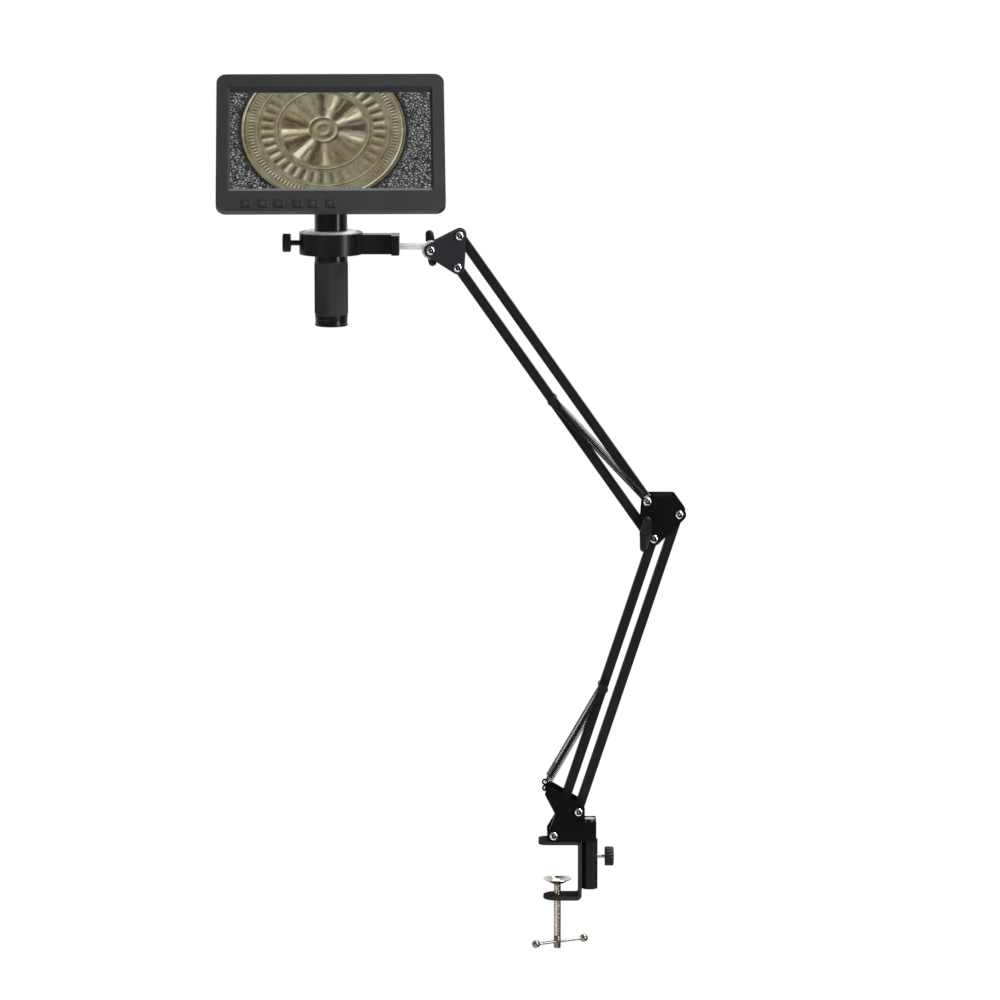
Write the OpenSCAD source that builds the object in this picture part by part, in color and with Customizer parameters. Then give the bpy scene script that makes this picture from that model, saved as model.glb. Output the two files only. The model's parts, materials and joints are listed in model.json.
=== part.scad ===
// Digital microscope with a tilting screen, carried by a spring balanced desk arm.
// X runs to the right, Y to the back and Z up. The origin is the point where the axis
// of the clamp screw meets the underside of the upper jaw, which rests on the desk.

/* [Clamp] */
// Width of the bent clamp strip
clamp_w = 32; // [28:1:40]
// Thickness of the clamp strip
clamp_t = 4; // [3:0.5:5]
// Clear height between the two jaws
jaw_opening = 60.5; // [56:0.5:75]
// Clear depth from the screw axis to the upright of the clamp
jaw_depth = 23.5; // [20:0.5:34]
// Reach of the upper jaw in front of the screw axis
upper_jaw_reach = 21.5; // [18:0.5:30]
// Outer radius of the bends in the strip
clamp_bend_r = 6; // [5:0.5:8]

/* [Clamp screw] */
// Outer diameter of the clamp screw
screw_d = 8; // [6:0.5:10]
// Pitch of its thread
screw_pitch = 1.25; // [1:0.25:2]
// Length of the screw below the pad
screw_l = 74.5; // [60:0.5:80]
// Height that is clamped with the screw as it stands
clamped_h = 41.7; // [20:0.1:44]
// Diameter of the pressure pad
pad_d = 32; // [24:1:34]
// Height of the pressure pad
pad_h = 7; // [5:0.5:8]
// Wall of the pressure pad
pad_wall = 1.5; // [1.2:0.1:2]
// Diameter of the tommy bar
tommy_d = 3.6; // [3:0.1:4]
// Distance between the centres of its two balls
tommy_span = 62; // [50:1:70]
// Diameter of the balls
ball_d = 9.5; // [8:0.5:11]
// How far the bar has slid through the screw
tommy_shift = 3.6; // [-8:0.1:8]
// Direction of the bar, seen from above
tommy_turn = 28; // [0:1:80]

/* [Swivel] */
// Outer diameter of the socket that is welded to the clamp
socket_d = 18.2; // [17:0.1:22]
// Length of the socket
socket_l = 57; // [40:1:62]
// Diameter of the swivel pin
swivel_pin_d = 12.6; // [10:0.1:13]
// Length of the swivel pin above the socket
swivel_pin_rise = 24; // [16:1:25]
// Diameter of the lock knob
lock_knob_d = 22; // [18:0.5:26]
// Thickness of the lock knob
lock_knob_t = 10.6; // [8:0.1:14]
// Diameter of the lock knob's stud
lock_stud_d = 5; // [4:0.5:6]
// Gap between the socket and the lock knob
lock_knob_gap = 8; // [6:0.5:14]
// Height of the lock knob below the top of the socket
lock_knob_drop = 20; // [14:0.5:32]

/* [Arm bars] */
// Width of the square tube
bar_w = 10.5; // [9:0.1:11]
// Wall of the square tube
bar_wall = 1; // [0.8:0.1:1.5]
// Diameter of the pivot bolts
bolt_d = 6; // [5:0.5:6.5]
// Diameter of the bolt heads
bolt_head_d = 10; // [9:0.5:10.5]
// Height of the bolt heads
bolt_head_h = 3.2; // [2.5:0.1:3.4]
// Pivot to pivot length of the lower bars
lower_l = 359.5; // [330:0.5:400]
// Direction of the lower bars above the desk
lower_turn = 71.8; // [64:0.1:88]
// Distance between the two pivots of the lower bars
lower_pair = 39.5; // [38:0.5:44]
// Direction from the front pivot to the rear pivot of the lower bars
lower_pair_turn = 44.4; // [40:0.1:48]
// Pivot to pivot length of the upper bars
upper_l = 365.3; // [330:0.5:400]
// Direction of the upper bars
upper_turn = 125.2; // [112:0.1:140]
// Distance between the two pivots of the upper bars
upper_pair = 35.5; // [34:0.5:40]
// Direction from the front pivot to the rear pivot of the upper bars
upper_pair_turn = 86.5; // [82:0.1:90]

/* [Brackets] */
// Thickness of the folded bracket plates
plate_t = 2; // [1.5:0.1:2.5]
// Distance of the lowest pivot to the left of the clamp screw's axis
base_pivot_left = 4.4; // [0:0.1:8]
// Height of that pivot above the floor of the base bracket
base_pivot_rise = 6.85; // [6.6:0.05:10]
// Step to the left from the lower to the upper front pivot of the elbow
elbow_left = 9.7; // [6:0.1:14]
// Step up between the same two pivots
elbow_rise = 7; // [4:0.1:10]
// Distance of the tilt bolt to the left of the head's front pivot
tilt_left = 30.1; // [24:0.1:40]
// Height of the tilt bolt above the same pivot
tilt_rise = 19.1; // [12:0.1:26]
// Clear width between the plates of the base and elbow brackets
plate_gap = 30; // [28:0.5:34]
// Thickness of the plastic washers beside the bars in the head
washer_t = 1; // [0.8:0.1:2]
// Outer diameter of the plastic spacers and washers
spacer_d = 10; // [9:0.5:10]
// Radius of the rounded corners about the bolts
corner_r = 7.6; // [7:0.1:8.5]
// Length of the wing nuts from tip to tip
wing_span = 41; // [30:1:44]
// Thickness of their wings
wing_t = 8.5; // [5:0.5:10]

/* [Springs] */
// Outer diameter of the balance springs
spring_d = 8; // [6:0.5:8.5]
// Diameter of the spring wire
wire_d = 1.2; // [0.9:0.1:1.5]
// Diameter of the pins that carry the springs on the bars
spring_pin_d = 5; // [4:0.5:6]
// Diameter of the round caps on the ends of those pins
spring_cap_d = 11; // [8:0.5:12]
// Place of the spring pin along the lower front bar
lower_pin_at = 178; // [150:1:190]
// Place of the spring pin along the upper front bar
upper_pin_at = 182; // [150:1:200]
// Length of the lower springs' legs between the hooks and the coils
hook_leg = 9; // [8:0.5:14]
// Length of the lower springs' legs inside the coils
hook_leg_in = 16; // [10:1:24]
// Length of the upper springs' legs inside the coils
upper_leg_in = 46; // [36:1:60]

/* [Holder] */
// Diameter of the support rod
rod_d = 9; // [7:0.5:10]
// Length of the rod from the tilt bolt to the holder's end plate
rod_reach = 34.9; // [30:0.1:60]
// Outer radius of the rod's eye
eye_r = 10; // [8:0.5:11]
// Outer diameter of the holder ring
ring_d = 71; // [66:0.5:80]
// Height of the holder ring
ring_h = 24; // [20:0.5:28]
// Distance from the ring's axis to the free face of the end plate
holder_reach = 76.5; // [64:0.5:100]
// Height of the holder's arm
holder_arm_h = 22; // [18:0.5:24]
// Thickness of the holder's arm
holder_arm_t = 18; // [14:0.5:22]
// Thickness of the end plate
end_plate_t = 9; // [8:0.5:12]
// Width of the end plate
end_plate_w = 34; // [24:1:40]
// Diameter of the reducing sleeve
sleeve_d = 59.4; // [54:0.2:60]
// Diameter of the ring's thumbscrew knob
thumb_knob_d = 20.6; // [16:0.2:24]
// Diameter of the thumbscrew's shank
thumb_shank_d = 6.2; // [5:0.2:8]

/* [Microscope tube] */
// Diameter of the tube
tube_d = 36.6; // [34:0.2:40]
// Wall of the tube
tube_wall = 2; // [1.5:0.1:2.5]
// Height of the tube above the middle of the ring
tube_rise = 43; // [34:1:50]
// Height of the smooth collar that shows below the ring
collar_h = 7; // [7:0.5:12]
// Diameter of the ribbed focus ring
grip_d = 37.6; // [37:0.2:42]
// Height of the ribbed focus ring
grip_h = 62; // [50:1:80]
// Number of ribs on the focus ring
grip_ribs = 48; // [24:2:60]
// Diameter of the inner barrel
barrel_d = 31; // [28:0.5:32]
// Height of the nose ring at the lower end
nose_h = 11.5; // [9:0.5:16]

/* [Screen unit] */
// Angle by which tube and screen are turned in the ring, counterclockwise from above
scope_turn = 1.8; // [-12:0.1:12]
// Width of the picture area
picture_w = 222.7; // [200:0.1:240]
// Height of the picture area
picture_h = 125.3; // [112:0.1:140]
// Width of the frame on either side of the picture area
frame_side = 15.9; // [12:0.1:24]
// Height of the frame above the picture area
frame_top = 22.9; // [20:0.1:30]
// Height of the frame below the picture area
frame_bottom = 31.1; // [29:0.1:40]
// Depth of the front frame
frame_depth = 7.5; // [7.5:0.5:12]
// Depth of the rear cover
cover_depth = 9.5; // [9:0.5:13]
// Wall of the casing
case_wall = 2.2; // [1.8:0.1:3]
// Radius of the casing's corners
case_corner_r = 11; // [8:0.5:14]
// Width of the sloped edge beside the picture
bevel_side = 2.8; // [2:0.1:4]
// Width of the sloped edge above the picture
bevel_top = 6.8; // [3:0.1:8]
// Width of the sloped edge below the picture
bevel_bottom = 4.8; // [3:0.1:6]
// Angle by which the screen leans back
screen_tilt = 37.5; // [15:0.5:75]
// Distance from the lower edge of the casing up to the hinge
hinge_up = 45; // [40:0.5:60]
// Distance from the hinge axis to the back of the casing
hinge_gap = 12; // [11.5:0.5:16]
// Height of the hinge axis above the tube
hinge_rise = 17; // [15:0.5:24]
// Side of the square buttons
button_w = 11; // [9:0.5:12]
// Travel of the buttons
button_travel = 0.7; // [0.5:0.1:0.9]
// Height of the button row above the lower edge of the casing
button_row = 10.2; // [9.5:0.1:11]
// Distance of the status light, at the middle of the row, from the picture's left edge
button_row_mid = 64.3; // [58:0.1:90]
// Width of the main board
board_w = 101; // [80:1:104]
// Height of the main board
board_h = 92; // [70:1:110]
// Width of the battery
battery_w = 86; // [60:1:90]
// Height of the battery
battery_h = 64; // [40:1:80]

/* [Hidden] */
$fn = 48;

// Clearances
running = 0.05;      // radial, pins and bolts in their bores
sliding = 0.1;       // radial, sleeves that slide and turn in each other
open_pivot = 0.25;   // radial, at the pivot that closes each pair of bars
side_play = 0.15;    // axial, beside bars and rings
turn_gap = 0.3;      // between faces that pass each other
seat = 0.02;         // between pieces that are screwed or pressed together

// Directions and the pivots of the arm, as [x, z]
function heading(angle) = [cos(angle), sin(angle)];
swivel_floor = clamp_t + turn_gap;
base_front = [-base_pivot_left, swivel_floor + base_pivot_rise];
base_rear = base_front + lower_pair * heading(lower_pair_turn);
elbow_low_front = base_front + lower_l * heading(lower_turn);
elbow_low_rear = base_rear + lower_l * heading(lower_turn);
elbow_up_front = elbow_low_front + [-elbow_left, elbow_rise];
elbow_up_rear = elbow_up_front + upper_pair * heading(upper_pair_turn);
head_front = elbow_up_front + upper_l * heading(upper_turn);
head_rear = elbow_up_rear + upper_l * heading(upper_turn);
tilt_bolt = head_front + [-tilt_left, tilt_rise];
lower_pin = base_front + lower_pin_at * heading(lower_turn);
upper_pin = elbow_up_front + upper_pin_at * heading(upper_turn);

// Plates of the two folded brackets, and of the narrow head
plate_in = plate_gap / 2;
plate_out = plate_in + plate_t;
head_in = bar_w / 2 + side_play + washer_t;
head_out = head_in + plate_t;
elbow_top = elbow_up_rear[1] + 6;
elbow_crest = [elbow_low_rear[0] - 8, elbow_top - 5];

// Height of the wing nuts' wings, and length of the bolts inside the nuts
wing_h = 9;
wing_bolt_l = 7;

// The springs run close to the inner faces of the bracket plates
spring_y = plate_in - spring_d / 2 - turn_gap;
shank_d = wire_d * 0.85;
coil_r = (spring_d - wire_d) / 2;
pin_loop_r = (spring_pin_d + wire_d) / 2 + sliding;
bolt_loop_r = (bolt_d + wire_d) / 2 + sliding;

// Clamp, screw and swivel
leg_x = jaw_depth;
leg_out = jaw_depth + clamp_t;
lower_jaw_top = -jaw_opening;
pad_top = -clamped_h;
pad_floor = pad_top - pad_h;
neck_d = screw_d - 2;
screw_end = pad_floor - screw_l;
tommy_z = screw_end + 7.5;
boss_top = screw_end + 15;
socket_x = leg_out + socket_d / 2;
socket_top = clamp_t;
socket_bottom = socket_top - socket_l;
socket_bore = swivel_pin_d + 2 * sliding;
swivel_pin_top = socket_top + swivel_pin_rise;
lock_z = socket_top - lock_knob_drop;
lock_knob_x = socket_x + socket_d / 2 + lock_knob_gap;
web_x = socket_x + swivel_pin_d / 2 + plate_t - 1;
web_top = swivel_floor + 22.5;
hook_hole = base_front + [-9.6, 55.5];

// Holder
rod_z = tilt_bolt[1] + eye_r - rod_d / 2 - 0.6;
end_plate_x = tilt_bolt[0] - rod_reach;
eye_t = rod_d - 1;
ring_x = end_plate_x - holder_reach;
ring_z = rod_z + 3;
ring_top = ring_z + ring_h / 2;
ring_bottom = ring_z - ring_h / 2;
holder_arm_z = ring_bottom + holder_arm_h / 2;
sleeve_recess = 1;
sleeve_lip = 2.4;
sleeve_lip_d = sleeve_d - 6.4;
thumb_knob_t = 9.2;
thumb_gap = 9.3;

// Tube
tube_floor = 3;
tube_top = ring_z + tube_rise;
collar_bottom = ring_bottom - collar_h;
grip_top = collar_bottom - turn_gap;
grip_bottom = grip_top - grip_h;
nose_top = grip_bottom - turn_gap;
nose_bottom = nose_top - nose_h;
barrel_bore = barrel_d - 4;
lens_z = nose_top + 16;
lens_d = 20;
cell_floor = 4;
hinge_y = -7;
hinge_z = tube_top + hinge_rise;
hinge_pin_d = 5;
knuckle_r = 6;
yoke_w = 27;
lug_w = 6;

// Screen unit, in its own frame: x right, y up the screen, z out of the screen
cover_back = hinge_gap;
cover_step = cover_depth / 2;
rim_inset = 3;
case_split = cover_back + cover_depth;
frame_front = case_split + frame_depth;
screen_w = picture_w + 2 * frame_side;
screen_h = picture_h + frame_top + frame_bottom;
case_low = -hinge_up;
case_high = case_low + screen_h;
case_mid = (case_low + case_high) / 2;
picture_high = case_high - frame_top;
picture_low = picture_high - picture_h;
bevel_depth = 3;
panel_front = frame_front - bevel_depth;
panel_t = 3.5;
panel_edge = 4;
row_x = button_row_mid - picture_w / 2;
button_steps = [10.5, 27.8, 46.7];
button_places = concat([for (i = [2, 1, 0]) row_x - button_steps[i]],
                       [for (i = [0 : 2]) row_x + button_steps[i]]);
button_y = case_low + button_row;
button_gap = 0.3;
button_proud = 0.6;
light_place = [row_x, button_y + 2.9];
board_t = 1.6;
board_z = case_split - 6;
board_right = screen_w / 2 - case_wall - 8;
board_left = board_right - board_w;
button_board_z = panel_front - 4.2;
switch_h = 2;
ports = 4;
port_pitch = 17;
port_size = [11, 12, 3.6];
port_x = screen_w / 2 - rim_inset - 0.4 - port_size[0];
port_z = board_z + board_t + seat;
port_row = (ports - 1) * port_pitch + port_size[1] + 4;
battery_right = board_left - 22;
cover_inset = 6;
screw_inset = case_corner_r;
case_screw_d = 2.8;

// ---------------------------------------------------------------- shared shapes

// Arc that rounds the corner at b between a and c with radius r
function corner(a, b, c, r, steps = 6) =
    r <= 0 ? [b] :
    let (
        back = (a - b) / norm(a - b),
        ahead = (c - b) / norm(c - b),
        half = acos(back * ahead) / 2,
        middle = b + (back + ahead) / norm(back + ahead) * r / sin(half),
        first = b + back * r / tan(half) - middle,
        last = b + ahead * r / tan(half) - middle,
        start = atan2(first[1], first[0]),
        sweep = (atan2(last[1], last[0]) - start + 540) % 360 - 180
    )
    [for (i = [0 : steps]) middle + r * heading(start + sweep * i / steps)];

// Outline through the points, with each corner rounded by its own radius
function rounded(points, radii) =
    let (n = len(points))
    [for (i = [0 : n - 1])
        each corner(points[(i + n - 1) % n], points[i], points[(i + 1) % n], radii[i])];

// Rectangle between two corners, with every corner rounded by r
function rounded_box(low, high, r) =
    rounded([low, [high[0], low[1]], high, [low[0], high[1]]], [r, r, r, r]);

// Direction of the outward normal of the belt's straight run from one circle to the next
function run_normal(a, b, ra, rb) =
    atan2(b[1] - a[1], b[0] - a[0]) - acos((ra - rb) / norm(b - a));

// Belt drawn tight round circles that are listed counterclockwise
function belt(centres, radii, steps = 8) =
    let (n = len(centres))
    [for (i = [0 : n - 1])
        let (
            p = (i + n - 1) % n,
            q = (i + 1) % n,
            start = run_normal(centres[p], centres[i], radii[p], radii[i]),
            stop = run_normal(centres[i], centres[q], radii[i], radii[q]),
            sweep = (stop - start + 720) % 360
        )
        for (k = [0 : steps]) centres[i] + radii[i] * heading(start + sweep * k / steps)];

// Outline in x and z, made solid from y0 to y1
module slab(y0, y1) {
    translate([0, y1, 0]) rotate([90, 0, 0]) linear_extrude(y1 - y0) children();
}

// Round bar along Y at a point [x, z]
module rod_y(at, d, y0, y1) {
    translate([at[0], y0, at[1]]) rotate([-90, 0, 0]) cylinder(d = d, h = y1 - y0);
}

// Round bar along X
module rod_x(y, z, d, x0, x1) {
    translate([x0, y, z]) rotate([0, 90, 0]) cylinder(d = d, h = x1 - x0);
}

// Pair of copies, in front and behind
module front_and_back() {
    children();
    mirror([0, 1, 0]) children();
}

// Frame whose x runs from one point [x, z] towards another
module along(from, to) {
    run = to - from;
    translate([from[0], 0, from[1]]) rotate([0, -atan2(run[1], run[0]), 0]) children();
}

// Screw head with a chamfered rim and a hexagon socket, standing on the XY plane
module button_head(d, h) {
    difference() {
        union() {
            cylinder(d = d, h = h * 0.5);
            translate([0, 0, h * 0.5]) cylinder(d1 = d, d2 = d * 0.72, h = h * 0.5);
        }
        translate([0, 0, h * 0.4]) cylinder(d = d * 0.36, h = h, $fn = 6);
    }
}

// Lock nut with its rounded crown, standing on the XY plane
module lock_nut(bore) {
    difference() {
        union() {
            cylinder(d = bore * 1.9, h = bore * 0.7, $fn = 6);
            translate([0, 0, bore * 0.7]) cylinder(d = bore * 1.5, h = bore * 0.25);
        }
        translate([0, 0, -1]) cylinder(d = bore + 2 * seat, h = bore * 2);
    }
}

// Bolt through two plates that stand out to +-reach, with its nut behind
module through_bolt(at, reach) {
    rod_y(at, bolt_d, -reach - seat, reach + bolt_d);
    translate([at[0], -reach - seat, at[1]]) rotate([90, 0, 0])
        button_head(bolt_head_d, bolt_head_h);
    translate([at[0], reach + seat, at[1]]) rotate([-90, 0, 0]) lock_nut(bolt_d);
}

// Plastic tube on a bolt, from y0 to y1
module spacer(at, y0, y1) {
    difference() {
        rod_y(at, spacer_d, y0, y1);
        rod_y(at, bolt_d + 2 * running, y0 - 1, y1 + 1);
    }
}

// Square tube between two pivots, with a solid round end at each of them
module bar(from, to, far_play = running) {
    length = norm(to - from);
    inside = bar_w - 2 * bar_wall;
    along(from, to) difference() {
        union() {
            translate([0, -bar_w / 2, -bar_w / 2]) cube([length, bar_w, bar_w]);
            for (x = [0, length])
                rod_y([x, 0], bar_w, -bar_w / 2, bar_w / 2);
        }
        translate([bar_w, -inside / 2, -inside / 2])
            cube([length - 2 * bar_w, inside, inside]);
        rod_y([0, 0], bolt_d + 2 * running, -bar_w, bar_w);
        rod_y([length, 0], bolt_d + 2 * far_play, -bar_w, bar_w);
    }
}

// Cross pin that carries the springs, with a cap at each end and collars beside the bar
module spring_pin(at) {
    cap_y = spring_y + spring_d / 2 + turn_gap;
    cap_t = 1.4;
    rod_y(at, spring_pin_d, -cap_y, cap_y);
    front_and_back() rod_y(at, spring_cap_d, cap_y, cap_y + cap_t);
    front_and_back()
        rod_y(at, spring_pin_d + 2.5, bar_w / 2 + seat, spring_y - wire_d / 2 - turn_gap);
}

// Closed loop of wire round a pin at the origin, and a straight shank along x up to `reach`
module spring_loop(loop_r, reach) {
    translate([0, spring_y, 0]) rotate([90, 0, 0]) rotate_extrude()
        translate([loop_r, 0]) circle(d = wire_d, $fn = 16);
    rod_x(spring_y, 0, shank_d, loop_r, reach);
}

// Coils along x from `first` to `last`. Ring-shaped grooves stand in for the wire. The far
// end is open for the leg that reaches into it.
module spring_coils(first, last) {
    length = last - first;
    turns = floor(length / (wire_d * 1.35));
    step = length / turns;
    translate([first, spring_y, 0]) rotate([0, 90, 0]) {
        rotate_extrude(convexity = 8) polygon(concat(
            [[coil_r - wire_d / 2, 0]],
            [for (i = [0 : turns - 1]) each [
                [coil_r + wire_d * 0.2, step * i],
                [coil_r + wire_d / 2, step * (i + 0.5)]]],
            [[coil_r + wire_d * 0.2, length], [coil_r - wire_d / 2, length]]
        ));
        cylinder(r = coil_r, h = wire_d);
        translate([0, 0, length - wire_d]) difference() {
            cylinder(r = coil_r, h = wire_d);
            translate([0, 0, -1]) cylinder(d = shank_d + 2 * running, h = wire_d + 2);
        }
    }
}

// Wing nut standing on the XY plane, with its wings along X. They start at the height `lift`.
module wing_nut(hub_d, lift) {
    hub_r = hub_d / 2;
    tip = wing_span / 2;
    tip_r = 4;
    difference() {
        union() {
            cylinder(r = hub_r, h = lift + wing_h * 0.6);
            intersection() {
                translate([0, wing_t / 2, lift]) rotate([90, 0, 0]) linear_extrude(wing_t)
                    polygon(rounded(
                        [[-hub_r, 0], [hub_r, 0], [tip, wing_h * 0.2], [tip, wing_h],
                         [-tip, wing_h], [-tip, wing_h * 0.2]],
                        [0, 0, 1.5, 2.5, 2.5, 1.5]));
                linear_extrude(lift + 2 * wing_h) polygon(belt(
                    [[tip_r - tip, 0], [0, -0.1], [tip - tip_r, 0], [0, 0.1]],
                    [tip_r, hub_r, tip_r, hub_r]));
            }
        }
        translate([0, 0, -1])
            cylinder(d = bolt_d + 2 * running, h = wing_bolt_l + 1 + turn_gap);
    }
}

// ---------------------------------------------------------------- clamp

module clamp_frame() {
    half = clamp_w / 2;
    color("#26272b") difference() {
        union() {
            slab(-half, half) polygon(concat(
                [[0, clamp_t]],
                [[0, 0]],
                corner([0, 0], [leg_x, 0], [leg_x, lower_jaw_top], clamp_bend_r - clamp_t),
                corner([leg_x, 0], [leg_x, lower_jaw_top], [0, lower_jaw_top],
                       clamp_bend_r - clamp_t),
                [[0, lower_jaw_top], [0, lower_jaw_top - clamp_t]],
                corner([0, lower_jaw_top - clamp_t], [leg_out, lower_jaw_top - clamp_t],
                       [leg_out, clamp_t], clamp_bend_r),
                corner([leg_out, lower_jaw_top], [leg_out, clamp_t], [0, clamp_t],
                       clamp_bend_r)
            ));
            translate([0, 0, lower_jaw_top - clamp_t]) cylinder(d = clamp_w, h = clamp_t);
            linear_extrude(clamp_t)
                polygon(rounded([[-upper_jaw_reach, -half], [0.5, -half], [0.5, half],
                                 [-upper_jaw_reach, half]], [9, 0, 0, 9]));
        }
        translate([0, 0, lower_jaw_top - clamp_t - 1])
            cylinder(d = screw_d + 2 * sliding, h = clamp_t + 2);
    }
}

module clamp_socket() {
    color("#26272b") difference() {
        union() {
            translate([socket_x, 0, socket_bottom]) cylinder(d = socket_d, h = socket_l);
            // Weld seam against the upright
            translate([leg_out + seat, -socket_d / 4, socket_bottom])
                cube([2, socket_d / 2, socket_l - clamp_bend_r]);
        }
        translate([socket_x, 0, socket_bottom - 1]) cylinder(d = socket_bore, h = socket_l + 2);
        rod_x(0, lock_z, lock_stud_d + 2 * running, socket_x, socket_x + socket_d);
    }
}

module pressure_pad() {
    r = pad_d / 2;
    foot = screw_d * 0.8;
    color("#c9c9cc") translate([0, 0, pad_floor]) rotate_extrude($fn = 64) polygon([
        [neck_d / 2 + sliding, 0], [foot, 0], [r - 4, pad_h - 1.6], [r, pad_h - 1],
        [r, pad_h], [r - 4, pad_h], [foot, pad_wall], [neck_d / 2 + sliding, pad_wall]
    ]);
}

// Ring-shaped grooves stand in for the thread
module clamp_screw() {
    r = screw_d / 2;
    root_r = r - 0.5 * screw_pitch;
    shoulder = pad_floor - turn_gap;
    turns = floor((shoulder - 1 - boss_top) / screw_pitch);
    start = shoulder - 1 - turns * screw_pitch;
    color("#c9c9cc") difference() {
        union() {
            rotate_extrude($fn = 40) polygon(concat(
                [[0, screw_end], [r - 0.8, screw_end], [r, screw_end + 0.8]],
                [[r, start]],
                [for (i = [0 : turns - 1]) each [
                    [root_r, start + screw_pitch * (i + 0.5)],
                    [r, start + screw_pitch * (i + 1)]]],
                [[r, shoulder - 0.5], [r - 0.5, shoulder], [0, shoulder]]
            ));
            translate([0, 0, shoulder - 0.5])
                cylinder(d = neck_d, h = pad_wall + 2 * turn_gap + 0.5);
            translate([0, 0, pad_floor + pad_wall + turn_gap])
                cylinder(d1 = neck_d + 2.4, d2 = neck_d, h = 1.4);
        }
        rotate([0, 0, tommy_turn]) rod_x(0, tommy_z, tommy_d + 2 * sliding, -screw_d, screw_d);
    }
}

module tommy_bar() {
    color("#c9c9cc") rotate([0, 0, tommy_turn]) translate([tommy_shift, 0, tommy_z]) {
        rod_x(0, 0, tommy_d, -tommy_span / 2, tommy_span / 2);
        for (side = [-1, 1])
            translate([side * tommy_span / 2, 0, 0]) sphere(d = ball_d);
    }
}

// ---------------------------------------------------------------- swivel and base

module lock_knob_stud() {
    color("#c9c9cc")
        rod_x(0, lock_z, lock_stud_d, socket_x + swivel_pin_d / 2 + sliding,
              lock_knob_x + lock_knob_t - 2);
}

module lock_knob() {
    ribs = 18;
    color("#1d1e21") translate([lock_knob_x, 0, lock_z]) rotate([0, 90, 0]) difference() {
        union() {
            cylinder(d = lock_knob_d, h = lock_knob_t - 1);
            translate([0, 0, lock_knob_t - 1])
                cylinder(d1 = lock_knob_d, d2 = lock_knob_d - 2, h = 1);
        }
        translate([0, 0, -1]) cylinder(d = lock_stud_d + 2 * seat, h = lock_knob_t - 1 + seat);
        for (i = [0 : ribs - 1]) rotate([0, 0, 360 * i / ribs])
            translate([lock_knob_d / 2 + 0.4, 0, -1])
                cylinder(r = 1.1, h = lock_knob_t + 2, $fn = 16);
    }
}

// Side of the base bracket. Its rear lower corner stands on the swivel.
function base_outline() =
    let (
        peak = base_front + [-4, 57.3],
        shoulder = base_front + [-10.3, 48.2],
        notch = base_front + [3.2, 21.7],
        back = base_rear[0] + 7
    )
    rounded(
        [base_front + [-7.2, -6.85], [web_x, swivel_floor], [web_x, web_top],
         [back, web_top], [back, base_rear[1] + 6.2], peak, hook_hole + [1.6, -2.6],
         shoulder, notch, base_front + [-7.6, 3.4]],
        [6, 1, 1.5, 0, 5, 2, 0, 1.5, 4, 4]);

module base_bracket() {
    color("#1f2024") difference() {
        union() {
            front_and_back() {
                slab(plate_in, plate_out) polygon(base_outline());
                rod_y(hook_hole, 7.4, plate_in, plate_out);
            }
            translate([web_x - plate_t, -plate_out, swivel_floor])
                cube([plate_t, 2 * plate_out, web_top - swivel_floor - 1.5]);
            translate([socket_x - 13, -plate_out, swivel_floor])
                cube([web_x - socket_x + 13 - 0.5, 2 * plate_out, plate_t]);
        }
        rod_y(base_front, bolt_d + 2 * running, -plate_out - 1, plate_out + 1);
        rod_y(base_rear, bolt_d + 2 * running, -plate_out - 1, plate_out + 1);
        rod_y(hook_hole, wire_d + 2.4, -plate_out - 1, plate_out + 1);
        translate([socket_x, 0, swivel_floor - 1])
            cylinder(d = swivel_pin_d + 2 * seat, h = swivel_pin_rise + 2);
    }
}

module swivel_pin() {
    end = socket_bottom + 3;
    chamfer = 1;
    color("#8f9094") translate([socket_x, 0, end]) {
        cylinder(d1 = swivel_pin_d - 2 * chamfer, d2 = swivel_pin_d, h = chamfer);
        translate([0, 0, chamfer])
            cylinder(d = swivel_pin_d, h = swivel_pin_top - end - chamfer);
    }
}

module base_fasteners() {
    color("#c9c9cc") for (at = [base_front, base_rear]) through_bolt(at, plate_out);
}

module base_spacers() {
    color("#e4e2da") for (at = [base_front, base_rear])
        front_and_back() spacer(at, bar_w / 2 + side_play, plate_in - seat);
}

// ---------------------------------------------------------------- arm bars

module lower_rear_bar() {
    color("#232428") bar(base_rear, elbow_low_rear, open_pivot);
}

module lower_front_bar() {
    color("#232428") difference() {
        bar(base_front, elbow_low_front);
        rod_y(lower_pin, spring_pin_d + 2 * seat, -bar_w, bar_w);
    }
}

module lower_spring_pin() {
    color("#1d1e21") spring_pin(lower_pin);
}

module upper_rear_bar() {
    color("#232428") bar(elbow_up_rear, head_rear, open_pivot);
}

module upper_front_bar() {
    color("#232428") difference() {
        bar(elbow_up_front, head_front);
        rod_y(upper_pin, spring_pin_d + 2 * seat, -bar_w, bar_w);
    }
}

module upper_spring_pin() {
    color("#1d1e21") spring_pin(upper_pin);
}

// ---------------------------------------------------------------- elbow

module elbow_bracket() {
    web_x = elbow_up_rear[0] + max(bar_w, spacer_d) / 2 + turn_gap;
    color("#1f2024") difference() {
        union() {
            front_and_back() slab(plate_in, plate_out) polygon(belt(
                [elbow_low_front, elbow_low_rear, elbow_crest,
                 [elbow_up_rear[0] + 1.2, elbow_top - 7.4], elbow_up_front + [-0.3, -1]],
                [corner_r, corner_r, 5, 7.4, 6.4]));
            // Folded top that joins the two plates
            translate([web_x, -plate_out, elbow_top - plate_t])
                cube([elbow_crest[0] - web_x, 2 * plate_out, plate_t]);
        }
        for (at = [elbow_low_front, elbow_low_rear, elbow_up_front, elbow_up_rear])
            rod_y(at, bolt_d + 2 * running, -plate_out - 1, plate_out + 1);
    }
}

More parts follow.
